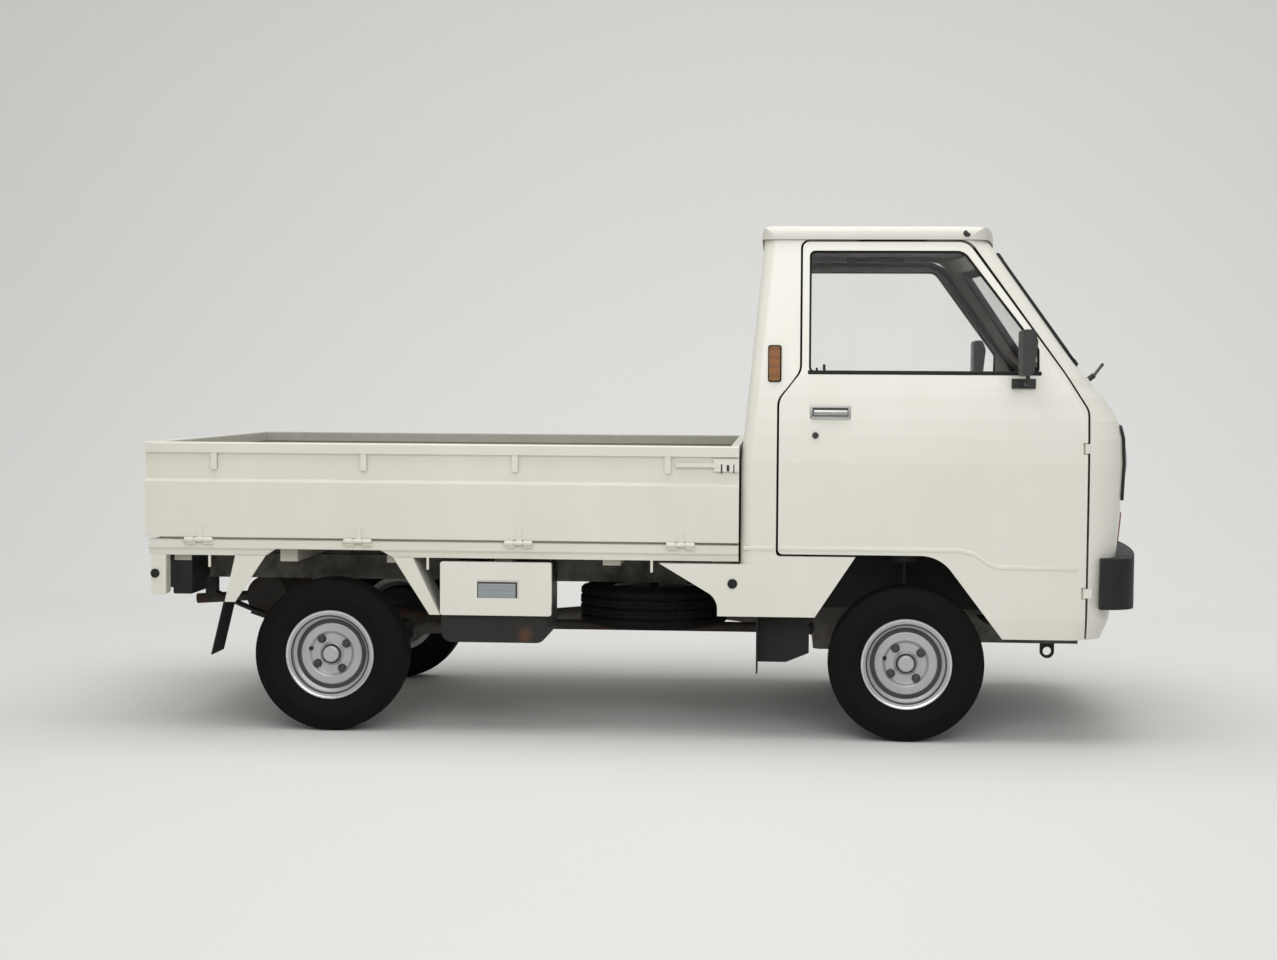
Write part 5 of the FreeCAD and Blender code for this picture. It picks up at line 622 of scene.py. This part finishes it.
# Dark rings in the disc's groove, at the rim's step and round the hub are painted shade.
wheel_shade = finish("wheel_painted_shade", grained, {
    "Colour": (0.03, 0.03, 0.03, 1), "Bloom": (0.09, 0.085, 0.08, 1), "Bloom Amount": 0.5, "Gloss": 0.55},
    (0.3, 0.0006))
edge_ring = set_down(spun([(-0.0562, 0.1335), (-0.0585, 0.1345), (-0.0605, 0.1385), (-0.0605, 0.1420),
                           (-0.0585, 0.1440), (-0.0565, 0.1430), (-0.0562, 0.1385), (-0.0562, 0.1335)],
                          axle, steps=72),
                     "rim_edge_rear_right", polished, "wheel_rear_right", "wheel_silver")
groove_shade = set_down(spun([(-0.0272, 0.1000), (-0.0292, 0.1000), (-0.0292, 0.1120), (-0.0272, 0.1115),
                        (-0.0272, 0.1000)], axle, steps=72), "rim_groove_rear_right", wheel_shade, "wheel_rear_right",
                  "wheel_silver")
nut_circle, nut_depth = 0.05715, -0.0290
nut_count, first_nut = 4, 35
nuts = []
for number in range(nut_count):
    turn = math.radians(first_nut + 360 / nut_count * number)
    place = axle + Vector((nut_circle * math.cos(turn), nut_depth, nut_circle * math.sin(turn)))
    washer_place = place + Vector((0, 0.0055, 0))
    nuts.append(disc(place, radius=0.0118, depth=0.0135, steps=6, edge=0.0012))
    bpy.ops.object.mode_set(mode="OBJECT")
    nuts.append(disc(washer_place, radius=0.0140, depth=0.003, steps=24, edge=0.0008))
    bpy.ops.object.mode_set(mode="OBJECT")
# The nuts are steel, coloured much darker than bare steel: painted shade for nuts that sit in shadow.
nuts = set_down(fused(nuts), "wheel_nuts_rear_right", bright_metal("nut_steel_painted_dark", (0.09, 0.09, 0.087, 1), 0.45),
                "wheel_rear_right", "wheel_silver")
valve_place = axle + Vector((-0.067, -0.0285, 0.016))
valve = set_down(disc(valve_place, radius=0.0065, depth=0.014, steps=16, edge=0.0015), "valve_rear_right",
                 seal_rubber, "wheel_rear_right", "rubber")
hub_ring_shade = set_down(spun([(-0.0295, 0.0265), (-0.0335, 0.0265), (-0.0335, 0.0315), (-0.0295, 0.0325),
                          (-0.0295, 0.0265)], axle, steps=48), "hub_ring_rear_right", wheel_shade, "wheel_rear_right",
                    "wheel_silver")
step_ring_shade = set_down(spun([(-0.0545, 0.1225), (-0.0560, 0.1235), (-0.0560, 0.1275), (-0.0545, 0.1275),
                           (-0.0545, 0.1225)], axle, steps=72), "rim_step_rear_right", wheel_shade, "wheel_rear_right",
                     "wheel_silver")
to_front_right = pivots["wheel_front_right_spin"] - axle
to_front_left = Vector((to_front_right.x, -to_front_right.y, to_front_right.z))
for piece in (edge_ring, groove_shade, nuts, valve, hub_ring_shade, step_ring_shade):
    stem = piece.name.replace("_rear_right", "")
    twin(piece, f"{stem}_front_right", "wheel_front_right", to_front_right)
    twin(piece, f"{stem}_rear_left", "wheel_rear_left", mirror=True)
    twin(piece, f"{stem}_front_left", "wheel_front_left", to_front_left, mirror=True)

# Bumper, grille and the rest of the black parts: moulded plastic with a fine grain, gone slightly grey.
# Bumper and grille are screwed to the nose; mirrors stand on the doors' front corners.
# Dashboard and kick panel are soft grey mouldings; the panel closes the cab's front under the dashboard.
bumper_black = finish("bumper_black", grained, {
    "Colour": (0.0065, 0.007, 0.007, 1), "Bloom": (0.02, 0.02, 0.019, 1), "Bloom Amount": 0.5, "Gloss": 0.45,
    "Grain Scale": 900.0}, (0.3, 0.0008), Specular_IOR_Level=0.35)
dress(bumper_black, "front_bumper", "grille")
dress(satin_black, "mirror_right", "mirror_left", "wipers", "steering_wheel", "steering_column")
trim_grey = finish("dashboard_grey", grained, {
    "Colour": (0.04, 0.038, 0.036, 1), "Bloom": (0.09, 0.085, 0.075, 1), "Bloom Amount": 0.4, "Gloss": 0.6,
    "Grain Scale": 380.0}, (0.5, 0.0012))
dress(trim_grey, "dashboard")
set_down(block((1.4250, -0.5650, 0.6120), (1.4310, 0.5650, 0.8790), 0.0015), "kick_panel", trim_grey, "body",
         "black_plastic")

# Lamps: round sealed headlamps with fluted glass, amber corner lamps and red rear lamps of moulded plastic.
# Flutes run down each lens, with fainter ones across them, and show as fine ridges.
fluted, fluted_in, fluted_out = effect_group(
    "lens_flutes",
    [("Colour", COLOUR, (0.8, 0.8, 0.8, 1)), ("Deep", COLOUR, (0.5, 0.5, 0.5, 1)), ("Flute Scale", NUMBER, 90.0),
     ("Gloss", NUMBER, 0.08)],
    [("Colour", COLOUR), ("Roughness", NUMBER), ("Height", NUMBER)])
where = fluted.nodes.new("ShaderNodeTexCoord").outputs["Object"]
ridges = fluted.nodes.new("ShaderNodeTexWave")
ridges.bands_direction = "Y"
fluted.links.new(where, ridges.inputs["Vector"])
fluted.links.new(fluted_in.outputs["Flute Scale"], ridges.inputs["Scale"])
cross_scale, cross_share, ridge_shade = 22.0, 0.6, 0.6
cross = fluted.nodes.new("ShaderNodeTexWave")
cross.bands_direction = "Z"
fluted.links.new(where, cross.inputs["Vector"])
cross.inputs["Scale"].default_value = cross_scale
relief_height = maths(fluted, "ADD", ridges.outputs["Fac"],
                      maths(fluted, "MULTIPLY", cross.outputs["Fac"], cross_share))
fluted.links.new(relief_height, fluted_out.inputs["Height"])
shading = maths(fluted, "MULTIPLY", relief_height, ridge_shade)
fluted.links.new(blend_colour(fluted, shading, fluted_in.outputs["Colour"], fluted_in.outputs["Deep"]),
                 fluted_out.inputs["Colour"])
fluted.links.new(maths(fluted, "ADD", fluted_in.outputs["Gloss"],
                       spread(fluted, speckle(fluted, where, scale=40.0), 0.4, 0.8, 0.0, 0.15)),
                 fluted_out.inputs["Roughness"])
dress(finish("headlamp_glass", fluted, {"Colour": (0.62, 0.64, 0.65, 1), "Deep": (0.34, 0.36, 0.37, 1),
                                        "Flute Scale": 55.0}, (0.6, 0.002), Metallic=0.3, Coat_Weight=1.0,
             Coat_Roughness=0.03), "headlamps")
dress(finish("amber_lens", fluted, {"Colour": (0.24, 0.084, 0.002, 1), "Deep": (0.14, 0.044, 0.001, 1),
                                    "Flute Scale": 70.0, "Gloss": 0.25}, (0.1, 0.0006), Specular_IOR_Level=0.25,
             Coat_Weight=0.05, Coat_Roughness=0.04), "amber_lamps")
dress(finish("red_lens", fluted, {"Colour": (0.42, 0.012, 0.01, 1), "Deep": (0.2, 0.005, 0.005, 1),
                                  "Flute Scale": 60.0}, (0.5, 0.0012), Coat_Weight=0.8,
             Coat_Roughness=0.04), "rear_lamps")

# Ladder frame, axle, springs and steering: pressed and cast steel under black chassis paint, dusty with road dirt.
# Rust comes through on edges and welds. Rubber mounts carry the cab on the frame's front legs.
rusted, rusted_in, rusted_out = effect_group(
    "road_rust",
    [("Colour", COLOUR, (0.02, 0.02, 0.02, 1)), ("Rust", COLOUR, (0.16, 0.07, 0.03, 1)),
     ("Dust", COLOUR, (0.16, 0.14, 0.11, 1)), ("Rust Amount", NUMBER, 0.3), ("Gloss", NUMBER, 0.45)],
    [("Colour", COLOUR), ("Roughness", NUMBER), ("Height", NUMBER)])
where = rusted.nodes.new("ShaderNodeTexCoord").outputs["Object"]
blotch = speckle(rusted, where, scale=8.0, detail=8.0)
threshold = maths(rusted, "SUBTRACT", 0.78, maths(rusted, "MULTIPLY", rusted_in.outputs["Rust Amount"], 0.5))
bloomed = spread(rusted, maths(rusted, "SUBTRACT", blotch, threshold), -0.04, 0.1)
film = spread(rusted, speckle(rusted, where, scale=21.0, detail=6.0), 0.3, 0.75, 0.0, 0.7)
tone = blend_colour(rusted, film, rusted_in.outputs["Colour"], rusted_in.outputs["Dust"])
tone = blend_colour(rusted, bloomed, tone, blend_colour(
    rusted, speckle(rusted, where, scale=60.0, detail=4.0), rusted_in.outputs["Rust"], (0.07, 0.03, 0.015, 1)))
rusted.links.new(tone, rusted_out.inputs["Colour"])
rusted.links.new(maths(rusted, "ADD", rusted_in.outputs["Gloss"],
                       maths(rusted, "MULTIPLY", maths(rusted, "MAXIMUM", bloomed, film), 0.4), clamp=True),
                 rusted_out.inputs["Roughness"])
rusted.links.new(maths(rusted, "ADD", maths(rusted, "MULTIPLY", bloomed, 0.6),
                       speckle(rusted, where, scale=300.0)), rusted_out.inputs["Height"])
chassis_black = finish("chassis_black", rusted, {
    "Colour": (0.010, 0.010, 0.010, 1), "Dust": (0.030, 0.027, 0.023, 1), "Rust Amount": 0.12}, (0.35, 0.001),
    Specular_IOR_Level=0.35)
dress(chassis_black, "cross_members", "front_suspension", "knuckle_right", "knuckle_left",
      "rear_axle", "rear_springs", "tie_rod", "fuel_tank", "tow_eye", "cab_floor")
# The side rails get a paler, mottled grey-beige than the rest of the frame.
dress(finish("pale_mottled_frame", rusted, {
    "Colour": (0.060, 0.057, 0.050, 1), "Dust": (0.27, 0.255, 0.22, 1), "Rust Amount": 0.12, "Gloss": 0.6},
    (0.35, 0.001), Specular_IOR_Level=0.35), "chassis_rails")
dress(finish("cast_housing", rusted, {
    "Colour": (0.17, 0.165, 0.155, 1), "Dust": (0.12, 0.10, 0.08, 1), "Rust Amount": 0.35, "Gloss": 0.5},
    (0.5, 0.0015)), "engine", "gearbox")
dress(finish("rusty_exhaust", rusted, {
    "Colour": (0.030, 0.027, 0.024, 1), "Dust": (0.055, 0.047, 0.038, 1), "Rust": (0.060, 0.034, 0.022, 1),
    "Rust Amount": 0.55, "Gloss": 0.6}, (0.6, 0.0015)), "exhaust")
dress(seal_rubber, "mud_flaps")
mount = set_down(block((1.0750, -0.3630, 0.3340), (1.1300, -0.3170, 0.3680), 0.003), "cab_mount_right", seal_rubber,
                 "body", "rubber")
twin(mount, "cab_mount_left", "body", mirror=True)

# Bed fittings: rolled hinge barrels, black blocks in the gate latch's slots, rubber plugs, a reflector and the rear
# lamps' boxes.
# The barrels are painted with the gates; the slot blocks are painted shade; the rest is black rubber and moulded
# plastic, screwed or pressed on.
hinge_line = pivots["side_gate_right_hinge"]
hinge_places = (-1.4235, -0.9087, -0.3940, 0.1180)
knuckles = (("rear", -0.0300, 0.028, 0.0084, "body"),
            ("front", 0.0300, 0.028, 0.0084, "body"),
            ("middle", 0.0, 0.027, 0.0072, "side_gate_right"))
for number, x in enumerate(hinge_places):
    for label, shift, length, radius, body in knuckles:
        barrel = set_down(disc((x + shift, hinge_line.y, hinge_line.z), radius=radius, depth=length, steps=20,
                               edge=0.0015, axis=(1, 0, 0)),
                          f"gate_barrel_right_{number}_{label}", bed_cream, body, "paint")
        twin(barrel, f"gate_barrel_left_{number}_{label}", body.replace("right", "left"), mirror=True)
# Thin black blocks in the latch's three slots are painted shade.
slot_front, gate_face = -0.7000, -0.6965
slot_shades = set_down(block_group(
    ((0.2430, slot_front, 0.8440), (0.2480, gate_face, 0.8720), 0.0008),
    ((0.2610, slot_front, 0.8500), (0.2700, gate_face, 0.8700), 0.0008),
    ((0.2820, slot_front, 0.8450), (0.2860, gate_face, 0.8720), 0.0008)), "latch_slots_right", satin_black,
    "side_gate_right", "black_plastic")
twin(slot_shades, "latch_slots_left", "side_gate_left", mirror=True)
for name, place, radius in (("bed_plug_rear_right", (-1.567, -0.6925, 0.506), 0.0145),
                            ("bed_plug_front_right", (0.282, -0.6975, 0.497), 0.0155)):
    plug = set_down(disc(place, radius, depth=0.008, steps=24, edge=0.002), name, seal_rubber, "body", "rubber")
    twin(plug, name.replace("right", "left"), "body", mirror=True)
set_down(block((-0.5290, -0.6890, 0.4365), (-0.3990, -0.6815, 0.4915), 0.0015), "reflector_frame", satin_black,
         "body", "black_plastic")
reflector_grey = finish("reflector_grey", fluted, {
    "Colour": (0.27, 0.30, 0.305, 1), "Deep": (0.21, 0.235, 0.24, 1), "Flute Scale": 120.0}, (0.2, 0.0004),
    Coat_Weight=0.5)
set_down(block((-0.5240, -0.6910, 0.4415), (-0.4040, -0.6860, 0.4865), 0.0015), "reflector", reflector_grey,
         "body", "lamp_glass")
lamp_box = set_down(block_group(((-1.5250, -0.6400, 0.4350), (-1.4600, -0.4350, 0.5600), 0.006),
                                ((-1.5640, -0.6405, 0.4560), (-1.5150, -0.6367, 0.5690), 0.0012)),
                    "lamp_box_right", bumper_black, "body", "black_plastic")
twin(lamp_box, "lamp_box_left", "body", mirror=True)

# Seats: foam pads on steel pans under dark grey cloth, each with a cushion and a backrest.
# Each pad gets an even mesh, and a little air pressure swells it inside its cover.
cloth_weave, weave_in, weave_out = effect_group(
    "seat_weave",
    [("Colour", COLOUR, (0.035, 0.035, 0.04, 1)), ("Thread", COLOUR, (0.08, 0.08, 0.085, 1)),
     ("Thread Scale", NUMBER, 420.0), ("Gloss", NUMBER, 0.8)],
    [("Colour", COLOUR), ("Roughness", NUMBER), ("Height", NUMBER)])
where = cloth_weave.nodes.new("ShaderNodeTexCoord").outputs["Object"]
threads = []
for direction in ("X", "Y", "Z"):
    thread = cloth_weave.nodes.new("ShaderNodeTexWave")
    thread.bands_direction = direction
    cloth_weave.links.new(where, thread.inputs["Vector"])
    cloth_weave.links.new(weave_in.outputs["Thread Scale"], thread.inputs["Scale"])
    threads.append(thread.outputs["Fac"])
over = maths(cloth_weave, "MULTIPLY", maths(cloth_weave, "MAXIMUM", threads[0], threads[1]), threads[2])
lint = speckle(cloth_weave, where, scale=9.0, detail=6.0)
cloth_weave.links.new(blend_colour(cloth_weave, maths(cloth_weave, "MULTIPLY", over, lint),
                                   weave_in.outputs["Colour"], weave_in.outputs["Thread"]),
                      weave_out.inputs["Colour"])
cloth_weave.links.new(maths(cloth_weave, "ADD", weave_in.outputs["Gloss"],
                            maths(cloth_weave, "MULTIPLY", lint, 0.15), clamp=True), weave_out.inputs["Roughness"])
cloth_weave.links.new(over, weave_out.inputs["Height"])
seat_cloth = finish("seat_cloth", cloth_weave, {}, (0.5, 0.0008), Sheen_Weight=0.25)
cover_ease, mesh_step, coarse_step = 0.007, 0.007, 0.012
air_pressure, swell_frames, swell_limit = 4.0, 20, 0.009
pads = node_copy("seats")
bpy.ops.object.mode_set(mode="EDIT")
bpy.ops.mesh.select_all(action="SELECT")
bpy.ops.mesh.separate(type="LOOSE")
bpy.ops.object.mode_set(mode="OBJECT")
pads = sorted(bpy.context.selected_objects,
              key=lambda pad: (round(pad.bound_box[0][1], 2), round(pad.bound_box[0][2], 2)))
for number, pad in enumerate(pads):
    only(pad)
    bpy.ops.object.mode_set(mode="EDIT")
    bpy.ops.mesh.select_all(action="SELECT")
    bpy.ops.transform.shrink_fatten(value=cover_ease)
    bpy.ops.object.mode_set(mode="OBJECT")
    remesh = pad.modifiers.new("even_mesh", "REMESH")
    remesh.mode = "VOXEL"
    remesh.voxel_size = mesh_step
    bpy.ops.object.modifier_apply(modifier=remesh.name)
    flat = [v.co.copy() for v in pad.data.vertices]
    swell = pad.modifiers.new("swell", "CLOTH")
    swell.settings.use_pressure = True
    swell.settings.uniform_pressure_force = air_pressure
    swell.settings.effector_weights.gravity = 0.0
    swell.settings.quality = 4
    for moment in range(1, swell_frames + 1):
        bpy.context.scene.frame_set(moment)
    bpy.ops.object.modifier_apply(modifier=swell.name)
    bpy.context.scene.frame_set(1)
    for v, start in zip(pad.data.vertices, flat):
        move = v.co - start
        if move.length > swell_limit:
            v.co = start + move * (swell_limit / move.length)
    smooth = pad.modifiers.new("smooth", "CORRECTIVE_SMOOTH")
    smooth.iterations = 6
    smooth.use_only_smooth = True
    bpy.ops.object.modifier_apply(modifier=smooth.name)
    set_down(pad, f"seat_pad_{number}", seat_cloth, "body", "vinyl")
    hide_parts("seats")

# Studio: a plain pale floor that curves up into a backdrop, a soft lamp overhead and one on the camera's side.
# It isn't part of the truck. Backdrop and floor are clear from behind, for cameras that stand outside.
floor_size, wall_place, wall_height, cove_radius = 40.0, 6.0, 12.0, 3.0
floor_shade, backdrop_shade = (0.645, 0.64, 0.625, 1), (0.90, 0.90, 0.885, 1)
bpy.ops.object.select_all(action="DESELECT")
bpy.ops.mesh.primitive_plane_add(size=floor_size, location=(0, wall_place - floor_size / 2, 0))
studio = bpy.context.object
studio.name = "studio_floor"
bpy.ops.object.transform_apply(location=True, rotation=True, scale=True)
bpy.ops.object.mode_set(mode="EDIT")
bpy.ops.mesh.select_mode(type="EDGE")
bpy.ops.mesh.select_all(action="DESELECT")
bpy.ops.object.mode_set(mode="OBJECT")
for line in studio.data.edges:
    line.select = all(studio.data.vertices[i].co.y > wall_place - 0.1 for i in line.vertices)
bpy.ops.object.mode_set(mode="EDIT")
bpy.ops.mesh.extrude_region_move(TRANSFORM_OT_translate={"value": (0, 0, wall_height)})
bpy.ops.object.mode_set(mode="OBJECT")
bend = studio.modifiers.new("cove", "BEVEL")
bend.width = cove_radius
bend.segments = 24
bpy.ops.object.modifier_apply(modifier=bend.name)
bpy.ops.object.shade_smooth()
paper = bpy.data.materials.new("studio_paper")
paper.use_nodes = True
tree = paper.node_tree
shader = tree.nodes["Principled BSDF"]
place = tree.nodes.new("ShaderNodeTexCoord").outputs["Object"]
depth = tree.nodes.new("ShaderNodeSeparateXYZ")
tree.links.new(place, depth.inputs[0])
backdrop = spread(tree, depth.outputs["Y"], -1.0, 3.5)
clouds = maths(tree, "MULTIPLY", speckle(tree, place, scale=0.5), 0.08)
tree.links.new(blend_colour(tree, maths(tree, "ADD", backdrop, clouds, clamp=True), floor_shade, backdrop_shade),
               shader.inputs["Base Color"])
shader.inputs["Roughness"].default_value = 0.9
mixed = tree.nodes.new("ShaderNodeMixShader")
tree.links.new(tree.nodes.new("ShaderNodeNewGeometry").outputs["Backfacing"], mixed.inputs[0])
tree.links.new(shader.outputs[0], mixed.inputs[1])
tree.links.new(tree.nodes.new("ShaderNodeBsdfTransparent").outputs[0], mixed.inputs[2])
tree.links.new(mixed.outputs[0], tree.nodes["Material Output"].inputs["Surface"])
studio.data.materials.append(paper)


def soft_lamp(name, place, aim, size, power):
    """Rectangular lamp that faces a point."""
    data = bpy.data.lights.new(name, "AREA")
    data.shape = "RECTANGLE"
    data.size, data.size_y = size
    data.energy = power
    lamp = bpy.data.objects.new(name, data)
    bpy.context.scene.collection.objects.link(lamp)
    towards = (Vector(aim) - Vector(place)).to_track_quat("-Z", "Y")
    lamp.matrix_world = Matrix.Translation(place) @ towards.to_matrix().to_4x4()


soft_lamp("overhead", place=(0.2, -0.6, 4.6), aim=(0, 0, 0), size=(6.0, 4.0), power=160)
soft_lamp("camera_side", place=(0.6, -6.0, 3.4), aim=(0, 0, 0.8), size=(5.0, 3.0), power=133)
world = bpy.data.worlds.new("studio_air")
bpy.context.scene.world = world
world.use_nodes = True
air = world.node_tree.nodes["Background"]
air.inputs["Color"].default_value = (0.97, 0.97, 0.965, 1)
air.inputs["Strength"].default_value = 0.52
bpy.context.scene.view_settings.view_transform = "Standard"
